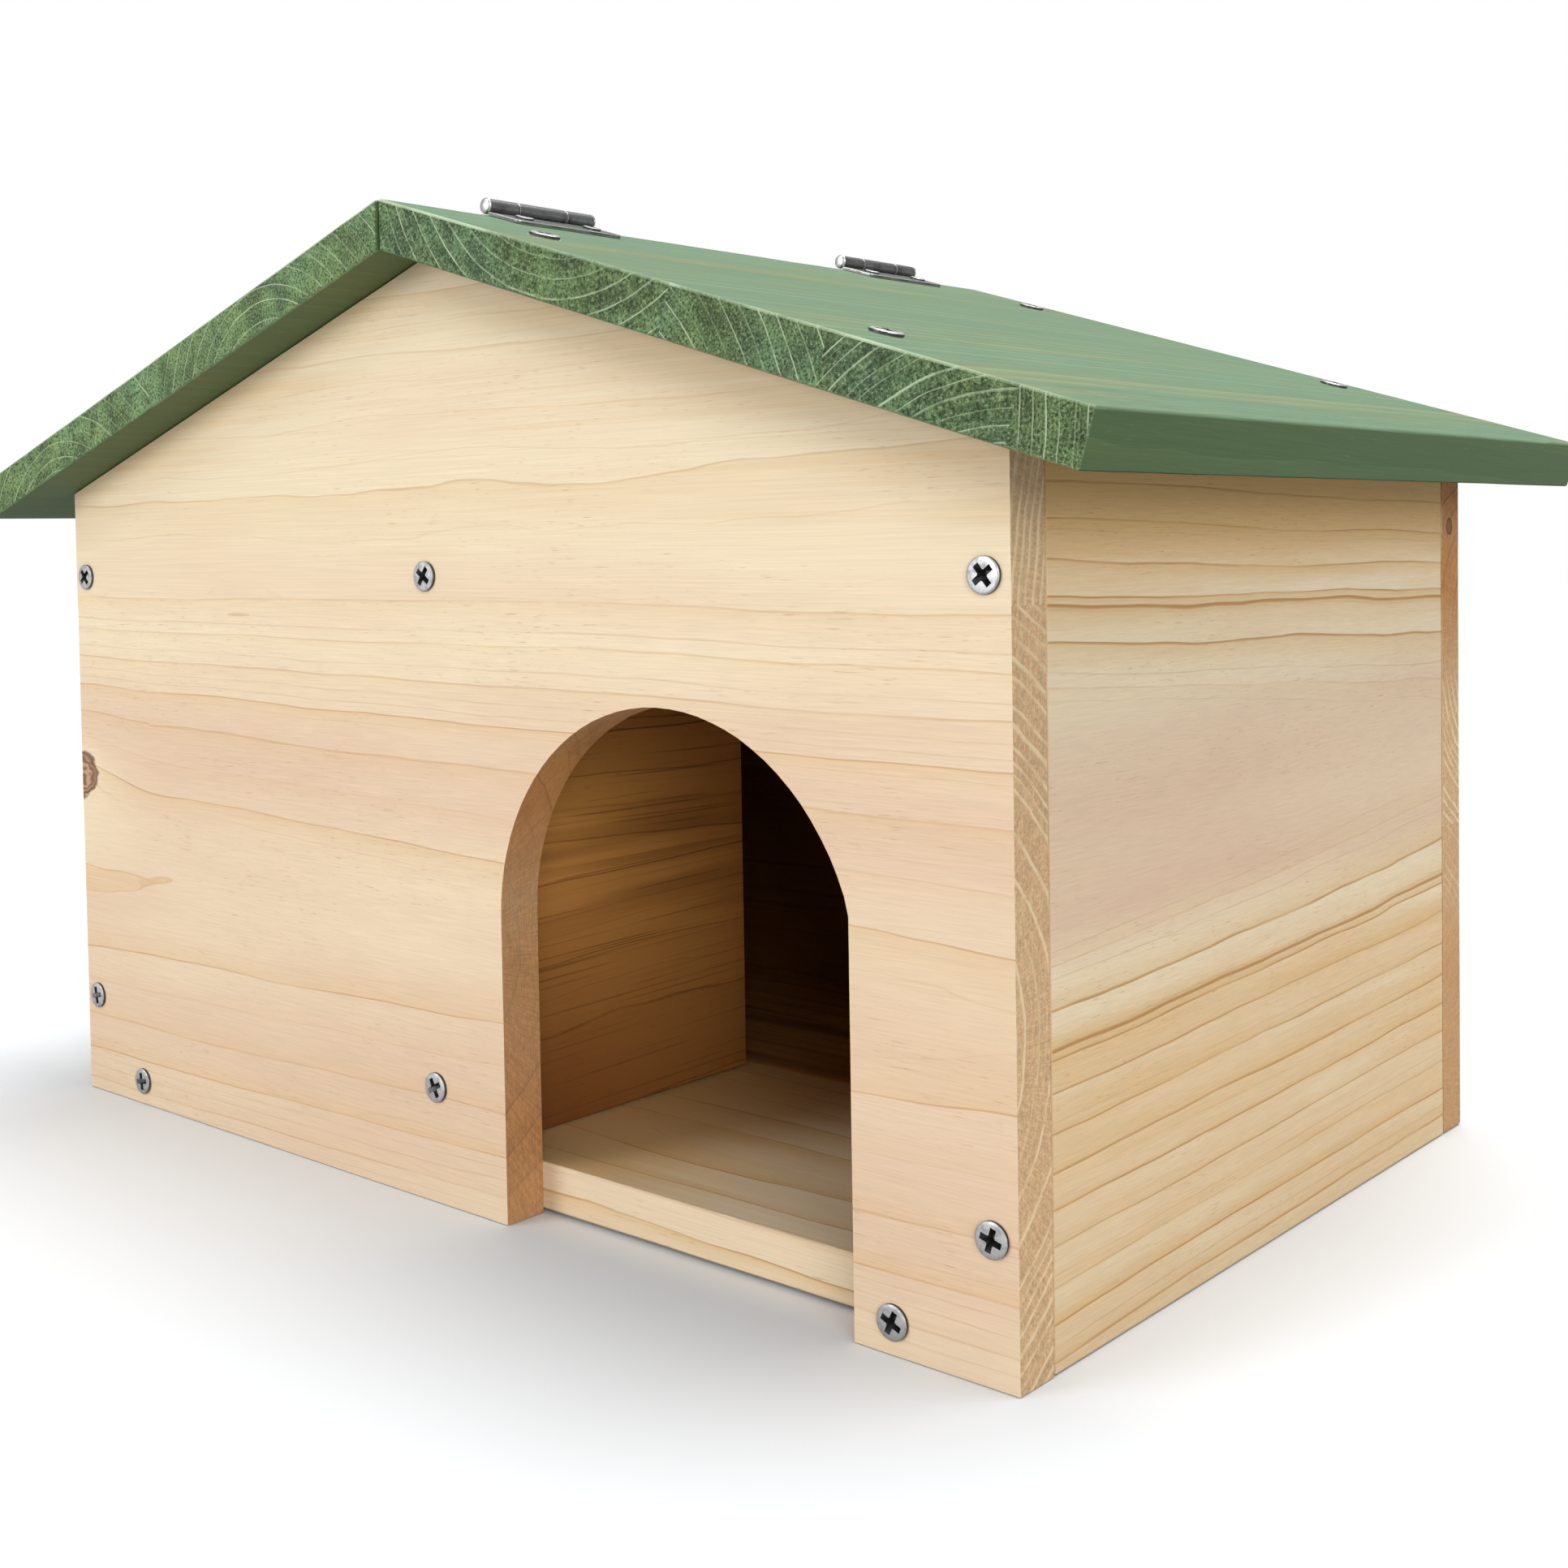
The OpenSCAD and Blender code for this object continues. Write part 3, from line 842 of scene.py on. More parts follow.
@dataclass
class Board:
    """A board's grain frame: its origin, and along, across and into the wood.

    The tones are pairs of a place across the board and its tone. Tone and shade by face gives a
    face's change of tone, mostly painted shade, painted light at gives a point's painted light or
    shade, and cuts are planes where the mesh is cut for it. Natural wood is amber below -1, then
    golden, pale at 0, pinkish to 1, brown to 2 and dark red to 3; the amber and the brown to dark
    red mostly carry painted shade.
    """

    origin: Vector
    along: Vector
    across: Vector
    depth: Vector
    staves: list
    knots: tuple = ()
    seed: int = 0
    browned: object = None
    tones: tuple = ()
    warmed: object = None
    cuts: tuple = ()

    def __post_init__(self):
        for name in ("origin", "along", "across", "depth"):
            setattr(self, name, Vector(getattr(self, name)))

    def local(self, point):
        """Millimetres along, across and into the board."""
        offset = (point - self.origin) / MM
        return (offset.dot(self.along), offset.dot(self.across), offset.dot(self.depth))

    def slice_staves(self, bm):
        """Cuts the solid at the glue lines, and into short lengths along the grain."""
        cuts = {stave.reach for stave in self.staves[:-1]}
        for cut in sorted(cuts | {place for place, tone in self.tones}):
            self.slice(bm, self.origin + self.across * cut * MM, self.across)
        for point, normal in self.cuts:
            self.slice(bm, point, normal)
        reach = [self.local(v.co)[0] for v in bm.verts]
        cut = min(reach) + SLICE
        while cut < max(reach) - SLICE / 2:
            self.slice(bm, self.origin + self.along * cut * MM, self.along)
            cut += SLICE

    def slice(self, bm, point, normal):
        geometry = bm.verts[:] + bm.edges[:] + bm.faces[:]
        bmesh.ops.bisect_plane(bm, geom=geometry, dist=1e-7, plane_co=point, plane_no=normal)

    def stave_at(self, across):
        for index, stave in enumerate(self.staves):
            if across <= stave.reach:
                return index, stave
        return len(self.staves) - 1, self.staves[-1]

    def tone_at(self, across, stave):
        """Tone of the wood at a place across the board."""
        if not self.tones:
            return stave.tone
        if across <= self.tones[0][0]:
            return self.tones[0][1]
        for (low, first), (high, second) in zip(self.tones, self.tones[1:]):
            if across <= high:
                return first + (second - first) * (across - low) / (high - low)
        return self.tones[-1][1]

    def write_grain(self, mesh):
        """Stores the grain, knot, stave and cut of every face for the wood materials."""
        bm = bmesh.new()
        bm.from_mesh(mesh)
        grain, knot, strip, zone, flow = [
            bm.loops.layers.float_vector.new(name)
            for name in ("grain", "knot", "stave", "zone", "flow")
        ]
        cut = bm.faces.layers.float_vector.new("cut")
        for face in bm.faces:
            centre = self.local(face.calc_center_median())
            index, stave = self.stave_at(centre[1])
            near = min(
                self.knots, key=lambda k: math.hypot(centre[0] - k.along, centre[1] - k.across),
                default=None,
            )
            browned = self.browned(face) if self.browned else 0.0
            broad = abs(face.normal.dot(self.depth))
            upper = WORN_FROM < abs(face.normal.y) < WORN_TO and face.normal.z > WORN_UP
            face[cut] = (abs(face.normal.dot(self.along)) ** 2, float(upper), stave.phase)
            for loop in face.loops:
                along, across, depth = self.local(loop.vert.co)
                tone = self.tone_at(across, stave) + browned
                if self.warmed:
                    tone += self.warmed(face, loop.vert.co)
                loop[strip] = (stave.gap, tone, stave.line)
                loop[grain] = (
                    along + STAVE_SHIFT * (index + 1) + BOARD_SHIFT * self.seed,
                    across - stave.pith[0] - stave.lean[0] * along,
                    depth - stave.pith[1] - stave.lean[1] * along,
                )
                if near is None:
                    loop[knot] = (NO_KNOT, NO_KNOT, 1.0)
                    loop[zone] = (stave.quiet, 0.0, broad)
                    loop[flow] = (NO_FLOW, NO_FLOW, stave.mark)
                    continue
                far, rise = (along - near.along) * near.long, across - near.across
                deep = 0.0 if near.depth is None else depth - near.depth
                loop[knot] = (far, rise, near.radius)
                loop[zone] = (stave.quiet, deep, broad)
                loop[flow] = (
                    far / (FLOW_LONG * near.radius),
                    (rise + near.drop) / (FLOW_WIDE * near.radius), stave.mark,
                )
        bm.to_mesh(mesh)
        bm.free()

    def build(self, node, outline, y, run, holes=(), body="house", slot="natural_wood"):
        """Makes the piece from its outline in x and z, which runs along Y, and its holes."""
        size = sizes()
        stained = slot == "green_stained_wood"
        bm = prism([Vector((x, y, z)) for x, z in outline], Y * run)
        self.slice_staves(bm)
        made = round_edges(bm, BOARD_EDGE, size.roof_arris if stained else size.arris, 3)
        noise.seed_set(self.seed)
        for vert in {v for f in made["faces"] for v in f.verts}:
            shift = Vector((self.seed * WEAR_SHIFT, 0, 0))
            coarse = noise.noise_vector(vert.co * WEAR_COARSE + shift)
            fine = noise.noise_vector(vert.co * WEAR_FINE)
            vert.co += -vert.normal * size.wear * (0.5 * abs(coarse.x) + 0.4 * abs(fine.y))
        mesh = to_mesh(bm, node)
        if holes:
            mesh = without(mesh, holes)
        self.write_grain(mesh)
        wood = green_stained_wood() if stained else natural_wood()
        place_piece(mesh, node, "board", body, wood)


def hole_cutter(matrix, head, proud, deep, ease=HEAD_EASE):
    """Countersink and bore that a screw takes out of a board."""
    radius, over, rim = head / 2 + ease, 0.004, proud - 0.001
    bm = revolve(
        [
            (0.0, over), (radius, over), (radius, rim), (radius * 0.5, rim - radius * 0.5),
            (radius * 0.5, -deep), (0.0, -deep),
        ],
        steps=40,
    )
    bmesh.ops.transform(bm, matrix=matrix, verts=bm.verts)
    return to_mesh(bm, "hole_cutter")


def facing(point, outward, turn=0.0):
    """Matrix that stands a screw on a face, its head outward, turned about its axis."""
    stand = Vector(outward).to_track_quat("Z", "Y").to_matrix().to_4x4()
    return Matrix.Translation(point) @ stand @ Matrix.Rotation(math.radians(turn), 4, "Z")


def slope_axes(side):
    """Directions down a slope and out of it; side is 1 on the fixed slope, -1 on the lid."""
    tilt = slope_angle()
    down = Vector((side * math.cos(tilt), 0.0, -math.sin(tilt)))
    return down, Vector((side * math.sin(tilt), 0.0, math.cos(tilt)))


def on_front(x, z):
    return Vector((x * MM, FRONT_Y, z * MM)), -Y


def on_back(x, z):
    return Vector((x * MM, BACK_Y, z * MM)), Y


def on_slope(x, y):
    z = ridge_z() - x * MM * math.tan(slope_angle())
    return Vector((x * MM, y * MM, z)), slope_axes(1)[1]


# Screw places: x and z on the panels, x and y on the roof, and the turn of the cross
PANEL_SCREWS = {
    "front_left_wall_screws": (on_front, ((-178.5, 172, 40), (-178.5, 32, 12))),
    "front_right_wall_screws": (on_front, ((178.5, 172, 38), (178.5, 32, 74))),
    "front_partition_screws": (on_front, ((-3, 172, 55), (-3, 32, 30))),
    "front_floor_screws": (on_front, ((-152, 7.5, 8), (152, 7.5, 66))),
    "back_left_wall_screws": (on_back, ((-178.5, 172, 22), (-178.5, 32, 61))),
    "back_right_wall_screws": (on_back, ((178.5, 172, 83), (178.5, 32, 17))),
    "back_floor_screws": (on_back, ((-152, 7.5, 48), (152, 7.5, 5))),
    "front_roof_screws": (on_slope, ((40, -114.5, 15), (149, -114.5, 52))),
    "back_roof_screws": (on_slope, ((40, 114.5, 70), (149, 114.5, 33))),
}
# Turns of the crosses on each hinge leaf, and the distance between its screws in millimetres
LEAF_TURNS = {
    ("front", "fixed"): (20, 64), ("front", "lid"): (41, 7), ("rear", "fixed"): (78, 31),
    ("rear", "lid"): (56, 13),
}
LEAF_SCREW_REACH = 26.0


def inside(direction, amount):
    """Painted shade: dark brown on the faces that look into the house."""
    return lambda face: amount if face.normal.dot(direction) > LOOKS else 0.0


def house_holes(*nodes):
    """Cutters of the screws' holes; those in the roof are eased more."""
    size = sizes()
    return [
        hole_cutter(
            facing(*where(first, second)), size.screw_head, size.screw_proud, HOLE_DEEP,
            ROOF_EASE if where is on_slope else HEAD_EASE,
        )
        for where, places in (PANEL_SCREWS[node] for node in nodes)
        for first, second, turn in places
    ]


def leaf_place(side, centre, end):
    """Point on a leaf's top and its outward direction; end is -1 or 1 along the ridge."""
    size = sizes()
    down, up = slope_axes(side)
    reach = (size.barrel / 2 + size.leaf_width) / 2
    top = Vector((0.0, centre + end * LEAF_SCREW_REACH / 2 * MM, ridge_z()))
    return top + down * reach + up * size.leaf_thickness, up


def leaf_holes(side, centres, deep):
    """Cutters of the hinge screws' holes in the leaves around the given centres."""
    size = sizes()
    return [
        hole_cutter(
            facing(*leaf_place(side, centre, end)), size.leaf_screw_head, size.leaf_screw_proud,
            deep,
        )
        for centre in centres
        for end in (-1, 1)
    ]


class GablePanels(bpy.types.Operator):
    """Builds the front panel with its doorway, and the back panel"""

    bl_idname = "hedgehog_house.gable_panels"
    bl_label = "Gable Panels"

    # Steps of the arch, how far its right shoulder is fuller, and the turns where that fades
    arch_steps = 40
    shoulder = 0.0019
    shoulder_full, shoulder_fade = 0.28, 1.29
    # Distances below the roof boards where the painted shade, as warmer wood, deepens and begins
    roof_shade = (0.011, 0.025)
    # Heights on the back panel's ends between which the painted shade near the ground gives way
    # to paler wood, then browner painted shade under the eave
    end_pale = (0.05, 0.075)
    end_brown = (0.128, 0.173)
    # Height below which painted shade darkens the front towards the right, and over what length
    warm_below, warm_over = 0.15, 0.04

    def outline(self, doorway):
        size = sizes()
        drop = size.lid_gap / math.cos(slope_angle())
        points = [(-HALF_W, 0.0)]
        if doorway:
            radius = size.door_width / 2
            spring = size.door_height - radius
            left = size.door_offset - radius
            points.append((left, 0.0))
            for i in range(self.arch_steps + 1):
                turn = math.pi * (1 - i / self.arch_steps)
                past = max(turn - self.shoulder_full, 0.0) / self.shoulder_fade
                fuller = self.shoulder * max(1.0 - past, 0.0) ** 2.2
                reach = min(radius + fuller, radius / max(math.cos(turn), 0.2))
                x, z, _ = around(reach, turn, 0.0)
                points.append((size.door_offset + x, spring + z))
            points.append((left + 2 * radius, 0.0))
        return points + [
            (HALF_W, 0.0), (HALF_W, size.wall_height), (0.0, PEAK_Z - drop),
            (-HALF_W, size.wall_height - drop),
        ]

    def doorway_face(self, face):
        """Painted shade: browner sawn faces around the doorway, a darker front towards the lower
        right, and dark brown faces that look into the house.
        """
        size = sizes()
        near = 0.002
        centre = face.calc_center_median()
        beside = abs(centre.x - size.door_offset) < size.door_width / 2 + near
        if beside and abs(face.normal.y) < LOOKS and centre.z < size.door_height + near:
            return 1.1 if face.normal.z > -0.9 or centre.z > near else 0.0
        if face.normal.y < -LOOKS:
            low = share((self.warm_below - centre.z) / self.warm_over)
            return 0.2 * low * share(centre.x / HALF_W)
        return inside(Y, 2.2)(face)

    def below_roof(self, face, point):
        """Painted shade: warmer, golden wood on the front face just below the roof boards."""
        if face.normal.y > -LOOKS:
            return 0.0
        tilt = slope_angle()
        gap = (PEAK_Z - point.z) * math.cos(tilt) - abs(point.x) * math.sin(tilt)
        return -0.6 * share(1.0 - gap / self.roof_shade[1])

    def roof_lines(self):
        """Planes below both roof boards, where the painted shade begins and deepens."""
        for gap in self.roof_shade:
            for side in (-1, 1):
                yield Z * (PEAK_Z - gap / math.cos(slope_angle())), slope_axes(side)[1]

    def end_top(self, face, point):
        """Painted shade on the back panel's sawn ends: darker near the ground, paler in the
        middle, browner at the top under the eave.
        """
        if abs(face.normal.x) < LOOKS:
            return 0.0
        paler, browner = [
            share((point.z - low) / (high - low))
            for low, high in (self.end_pale, self.end_brown)
        ]
        return 1.3 * browner - 0.3 * paler

    def back_face(self, face):
        """Dark brown painted shade on the back panel's inner face, and browner sawn ends."""
        return 1.0 if abs(face.normal.x) > LOOKS else inside(-Y, 2.3)(face)

    def execute(self, context):
        thick = PANEL_HIGH.y - PANEL_LOW.y
        front = Board(
            (0, FRONT_Y, 0), X, Z, Y,
            [
                Stave(165.5, (75, -30), 9.8, 0.316, (0.0, -0.025), 0.55, 0.95, quiet=24.0),
                Stave(300, (158, 112), 8.1, 0.38, tone=0.06, line=0.6),
            ],
            knots=[Knot(-184.0, 105.8, 8.6, 0.95, drop=9.0), Knot(-92.0, 160.5, 0.6, 0.1)],
            seed=1, browned=self.doorway_face, warmed=self.below_roof,
            cuts=list(self.roof_lines()),
            tones=[
                (0.0, 0.6), (24.0, 0.8), (50.0, 0.55), (67.0, 0.62), (86.0, 0.36), (110.0, 0.82),
                (124.0, 0.8), (140.0, 0.4), (153.0, 0.05), (166.0, 0.22), (182.0, 0.02),
            ],
        )
        holes = house_holes(
            "front_left_wall_screws", "front_right_wall_screws", "front_partition_screws",
            "front_floor_screws", "front_roof_screws",
        )
        front.build("front_panel", self.outline(True), FRONT_Y, thick, holes)
        back = Board(
            (0, BACK_Y, 0), X, Z, -Y,
            [
                Stave(92, (20, 48), 7.4, 0.2, (0.012, 0.0), tone=0.5, line=1.1),
                Stave(178, (150, -36), 8.6, 0.6, (-0.01, 0.02), tone=0.3, line=1.0),
                Stave(300, (260, 60), 7.0, 0.1, tone=0.1, line=0.8),
            ],
            knots=[Knot(185.0, 181.0, 2.6, 1.0, 7.5), Knot(96.0, 142.0, 5.0)], seed=2,
            browned=self.back_face, warmed=self.end_top,
            cuts=[(Z * height, Z) for height in self.end_pale + self.end_brown],
        )
        holes = house_holes(
            "back_left_wall_screws", "back_right_wall_screws", "back_floor_screws",
            "back_roof_screws",
        )
        back.build("back_panel", self.outline(False), BACK_Y, -thick, holes)
        return {"FINISHED"}


class SideWalls(bpy.types.Operator):
    """Builds the two side walls, their tops planed to the roof's slope"""

    bl_idname = "hedgehog_house.side_walls"
    bl_label = "Side Walls"

    def execute(self, context):
        size = sizes()
        tilt = slope_angle()
        thick = WALL_HIGH.x - WALL_LOW.x
        for side, node, fall, tones, staves, knots, seed in (
            (
                1, "right_wall", 0.0,
                [
                    # Tones up the right wall; the deep amber from 174 mm up is painted shade
                    # under the eave.
                    (30.0, -0.55), (44.0, -0.75), (54.0, -0.7), (61.0, -0.65), (69.0, -0.8),
                    (76.0, -0.05), (84.0, 0.05), (89.0, 0.35), (97.0, 0.85), (112.0, 0.72),
                    (136.0, 0.5), (146.0, 0.0), (166.0, -0.25), (174.0, -0.75), (182.0, -1.6),
                    (190.0, -2.0),
                ],
                [Stave(300, (118, -29.7), 7.85, 0.0, (0.0, -0.044), 0.55, 1.6, 35.3, 54.2)], (),
                3,
            ),
            (
                -1, "left_wall", size.lid_gap / math.cos(tilt),
                [(20.0, 0.6), (70.0, 0.25), (120.0, 0.65), (190.0, 0.2)],
                [
                    Stave(96, (40, 44), 8.2, 0.3, (0.02, 0.0), tone=0.45, line=1.2),
                    Stave(300, (150, -34), 9.0, 0.7, (-0.015, 0.03), tone=0.3, line=1.1),
                ],
                [Knot(42.0, 131.0, 5.5)], 4,
            ),
        ):
            outer, inner = side * HALF_W, side * (HALF_W - thick)
            board = Board(
                (outer, 0, 0), Y, Z, -X * side, staves, knots, seed, inside(-X * side, 2.6),
                tones,
            )
            board.build(
                node,
                [
                    (inner, 0.0), (outer, 0.0), (outer, size.wall_height - fall),
                    (inner, size.wall_height + thick * math.tan(tilt) - fall),
                ],
                WALL_LOW.y + size.joint_gap, WALL_HIGH.y - WALL_LOW.y - 2 * size.joint_gap,
            )
        return {"FINISHED"}


class FloorBoard(bpy.types.Operator):
    """Builds the floor board"""

    bl_idname = "hedgehog_house.floor_board"
    bl_label = "Floor Board"

    # Place of the glue line behind the entrance
    rear = 0.001
    # Reach of the painted shade, as amber wood, from the partition
    amber_reach = 0.055
    # Where the painted light, as paler wood, begins across the floor, and over what length
    pale_from, pale_over = 0.04, 0.05

    def worn(self, face):
        """Tone of the pale front edge, and painted shade: the rear staves deep in the house are
        dark brown.
        """
        if face.normal.y < -LOOKS:
            return 1.0
        return 3.4 if face.calc_center_median().y > self.rear else 0.0

    def trodden(self, face, point):
        """Painted shade as amber wood beside the partition, and painted light as paler wood
        further right in the entrance.
        """
        if face.normal.z < LOOKS or face.calc_center_median().y > self.rear:
            return 0.0
        near = share(1.0 - abs(point.x - SCREEN_HIGH.x) / self.amber_reach)
        return 0.6 * share((point.x - self.pale_from) / self.pale_over) - near

    def execute(self, context):
        low, high = FLOOR_LOW, FLOOR_HIGH
        board = Board(
            (0, 0, high.z), X, Y, -Z,
            [
                Stave(1, (-70, 40), 8.0, 0.8, (0.004, 0.0), tone=-0.8, line=1.7),
                Stave(54, (20, -46), 7.2, 0.4, (-0.012, 0.0), tone=-0.75, line=1.4),
                Stave(300, (110, 52), 6.8, 0.8, tone=-0.75, line=1.2),
            ],
            seed=5, browned=self.worn, warmed=self.trodden,
            tones=[
                # Tones across the floor; the amber that deepens towards the back is painted
                # shade.
                (-110.0, -0.75), (-70.0, -0.8), (-52.0, -0.9), (-34.0, -1.05), (-14.0, -1.3),
                (40.0, -1.4),
            ],
        )
        outline = [(low.x, low.z), (high.x, low.z), (high.x, high.z), (low.x, high.z)]
        board.build("floor_board", outline, low.y, high.y - low.y)
        return {"FINISHED"}


class ScreenBoard(bpy.types.Operator):
    """Builds the inner partition that screens the nest"""

    bl_idname = "hedgehog_house.partition"
    bl_label = "Partition"

    # Where painted light, as paler wood, begins below and towards the back, and over what lengths
    fresh_below, fresh_rise = 0.11, 0.05
    fresh_from, fresh_run = -0.075, 0.06

    def by_light(self, face, point):
        """Painted light: paler wood low down towards the open end of the partition."""
        low = share((self.fresh_below - point.z) / self.fresh_rise)
        return -0.4 * low * share((point.y - self.fresh_from) / self.fresh_run)

    def execute(self, context):
        low, high = SCREEN_LOW, SCREEN_HIGH
        foot = low.z + sizes().joint_gap
        board = Board(
            (high.x, 0, 0), Y, Z, -X,
            [
                Stave(88, (30, 46), 8.4, 0.35, (0.02, 0.0), tone=2.0, line=1.6),
                Stave(300, (150, -40), 7.6, 0.7, (-0.02, 0.0), tone=1.9, line=1.5),
            ],
            seed=6, warmed=self.by_light,
            tones=[
                # Tones up the partition: its brown is painted shade inside the house, darkest at
                # the foot.
                (14.0, 3.0), (28.0, 2.9), (62.0, 2.56), (84.0, 2.22), (104.0, 2.02), (150.0, 2.0),
            ],
        )
        outline = [(low.x, foot), (high.x, foot), (high.x, high.z), (low.x, high.z)]
        board.build("partition", outline, low.y, high.y - low.y)
        return {"FINISHED"}


class RoofBoards(bpy.types.Operator):
    """Builds the fixed roof board and the lid, mitred at the ridge and stained green"""

    bl_idname = "hedgehog_house.roof_boards"
    bl_label = "Roof Boards"

    # Reach of the ridge seam, and where the bare wood begins on the fixed slope
    seam_reach, bare_from = 0.003, 0.085
    # Least part of the normal downwards for a lower face, and along Y for one at an end
    turned = 0.25

    def stain_change(self, side):
        """Painted shade as darker stain below, at the eaves and in the ridge seam; bare wood at a
        front edge.
        """

        def change(face):
            centre = face.calc_center_median()
            if face.normal.z > -self.turned:
                seam = abs(centre.x) < self.seam_reach and abs(face.normal.x) > 0.5
                return -1.0 if seam else 0.0
            if abs(face.normal.y) < self.turned:
                return -1.0 if face.normal.z < -LOOKS else -0.3
            bare = side == 1 and face.normal.y < 0.0
            return 0.9 if bare and centre.x > self.bare_from else 0.0

        return change

    def execute(self, context):
        size = sizes()
        tilt = slope_angle()
        thick = size.roof_thickness
        seam = size.ridge_seam / 2
        eave_x = ROOF_HIGH.x - thick * math.sin(tilt)
        eave_z = PEAK_Z - eave_x * math.tan(tilt)
        for side, node, body, staves, seed in (
            (
                1, "fixed_roof_panel", "house",
                [
                    Stave(110, (64, -43), 4.8, 0.48, tone=0.03, line=0.9),
                    Stave(158, (70, 70), 4.25, 0.08, tone=0.03, line=1.0),
                    Stave(207.5, (217, 50), 3.4, 0.265, tone=-0.2, line=1.0),
                    Stave(300, (145, 25), 3.0, 0.8, (0.0, 0.03), tone=-0.2, line=0.9),
                ],
                7,
            ),
            (
                -1, "lid_panel", "lid",
                [
                    Stave(120, (62.5, 38), 4.75, 0.0, tone=0.38, line=1.0),
                    Stave(300, (183, 45), 4.4, 0.5, tone=0.38, line=1.0),
                ],
                8,
            ),
        ):
            down, up = slope_axes(side)
            board = Board(
                (0, 0, ridge_z()), Y, down, -up, staves, seed=seed,
                browned=self.stain_change(side),
            )
            holes = leaf_holes(side, (-size.hinge_offset, size.hinge_offset), LEAF_HOLE_DEEP)
            if side == 1:
                holes += house_holes("front_roof_screws", "back_roof_screws")
            edge_x = eave_x + thick * math.sin(tilt)
            outline = [
                (side * seam, PEAK_Z - seam * math.tan(tilt)), (side * eave_x, eave_z),
                (side * edge_x, eave_z + thick * math.cos(tilt)),
                (side * seam, ridge_z() - seam * math.tan(tilt)),
            ]
            run = ROOF_HIGH.y - ROOF_LOW.y
            board.build(node, outline, ROOF_LOW.y, run, holes, body, "green_stained_wood")
        return {"FINISHED"}


# Screws


def cross_cutters(head):
    """Two tapered wings and the cone of a cross recess."""
    span, width, deep, over = 0.68 * head, 0.185 * head, 0.32 * head, 0.2 * head
    grow = (deep + over) / deep
    found = []
    for turn in (0.0, 90.0):
        bm = bmesh.new()
        for sign_x, sign_y in ((-1, -1), (1, -1), (1, 1), (-1, 1)):
            wide, thick = sign_x * span, sign_y * width
            bm.verts.new((wide * 0.17, thick * 0.38, -deep))
            bm.verts.new((wide * (0.17 + 0.33 * grow), thick * (0.38 + 0.12 * grow), over))
        bmesh.ops.convex_hull(bm, input=bm.verts)
        bmesh.ops.rotate(bm, verts=bm.verts, matrix=Matrix.Rotation(math.radians(turn), 3, "Z"))
        found.append(to_mesh(bm, "cross_wing"))
    cone = revolve(
        [
            (0.0, over), (0.19 * head, over), (0.155 * head, 0.0), (0.07 * head, -deep * 0.92),
            (0.0, -deep * 1.08),
        ],
        steps=24,
    )
    return found + [to_mesh(cone, "cross_cone")]


def thread_turns(bm, shank, top, low, pitch):
    """Adds a helical thread ridge around a screw's core."""
    steps = 20
    count = int((top - low) / pitch * steps)
    core, crest, flank = shank * 0.36, shank * 0.5, 0.32
    rows = []
    for i in range(count + 1):
        turn = math.tau * i / steps
        height = top - pitch * i / steps
        fade = min(1.0, i / steps, (count - i) / steps)
        ridge = core + (crest - core) * fade
        rows.append(
            [
                bm.verts.new(around(radius, turn, height + shift * pitch))
                for radius, shift in ((core, flank), (ridge, 0.0), (core, -flank))
            ]
        )
    for one, two in zip(rows, rows[1:]):
        for k in range(3):
            m = (k + 1) % 3
            bm.faces.new((one[k], two[k], two[m], one[m]))
    bm.faces.new(rows[0])
    bm.faces.new(rows[-1][::-1])


def screw_mesh(head, shank, reach):
    """Countersunk screw with a cross recess, its head's top on z = 0."""
    radius, core = head / 2, shank * 0.37
    edge, rim = 0.035 * head, -0.0009
    cone = rim - (head - shank) / 2
    bm = revolve(
        [
            (0.0, 0.0), (radius * 0.55, -0.002 * head), (radius - edge * 1.6, -0.008 * head),
            (radius - edge * 0.5, -0.022 * head), (radius, -edge * 1.1), (radius, rim),
            (shank / 2, cone), (core, cone - 0.0006), (core, -reach + 2.2 * shank * 0.5),
            (0.0, -reach),
        ],
        steps=48,
    )
    mesh = without(to_mesh(bm, "screw_blank"), cross_cutters(head))
    bm = bmesh.new()
    bm.from_mesh(mesh)
    thread_turns(bm, shank, cone - 0.001, -reach + 0.0015, shank * 0.55)
    bmesh.ops.recalc_face_normals(bm, faces=bm.faces)
    # Painted shade: faces of the cross recess and of the head's rim are marked for dark zinc.
    recess = bm.faces.layers.float.new("recess")
    for face in bm.faces:
        centre = face.calc_center_median()
        sunk = -0.36 * head < centre.z < -0.02 * head
        rimmed = abs(face.normal.z) < 0.3 and centre.z > cone
        face[recess] = float(rimmed or sunk and centre.xy.length < 0.36 * head)
    bm.to_mesh(mesh)
    bm.free()
    return mesh


def place_screws(master, places, proud, node, body, steel):
    """One piece with a copy of the screw at each place, its head proud of the face."""
    bm = bmesh.new()
    for point, outward, turn in places:
        before = len(bm.verts)
        bm.from_mesh(master)
        bm.verts.ensure_lookup_table()
        matrix = facing(point + outward * proud, outward, turn)
        bmesh.ops.transform(bm, matrix=matrix, verts=bm.verts[before:])
    place_piece(to_mesh(bm, node), node, "zinc", body, steel, SCREW_SHARP)


def screw_zinc():
    """Zinc plate of the screws in the panels and the hinges."""
    look = finishes()
    return zinc_steel("screw_zinc", 520.0, 0.4, look.zinc, look.zinc_dull)


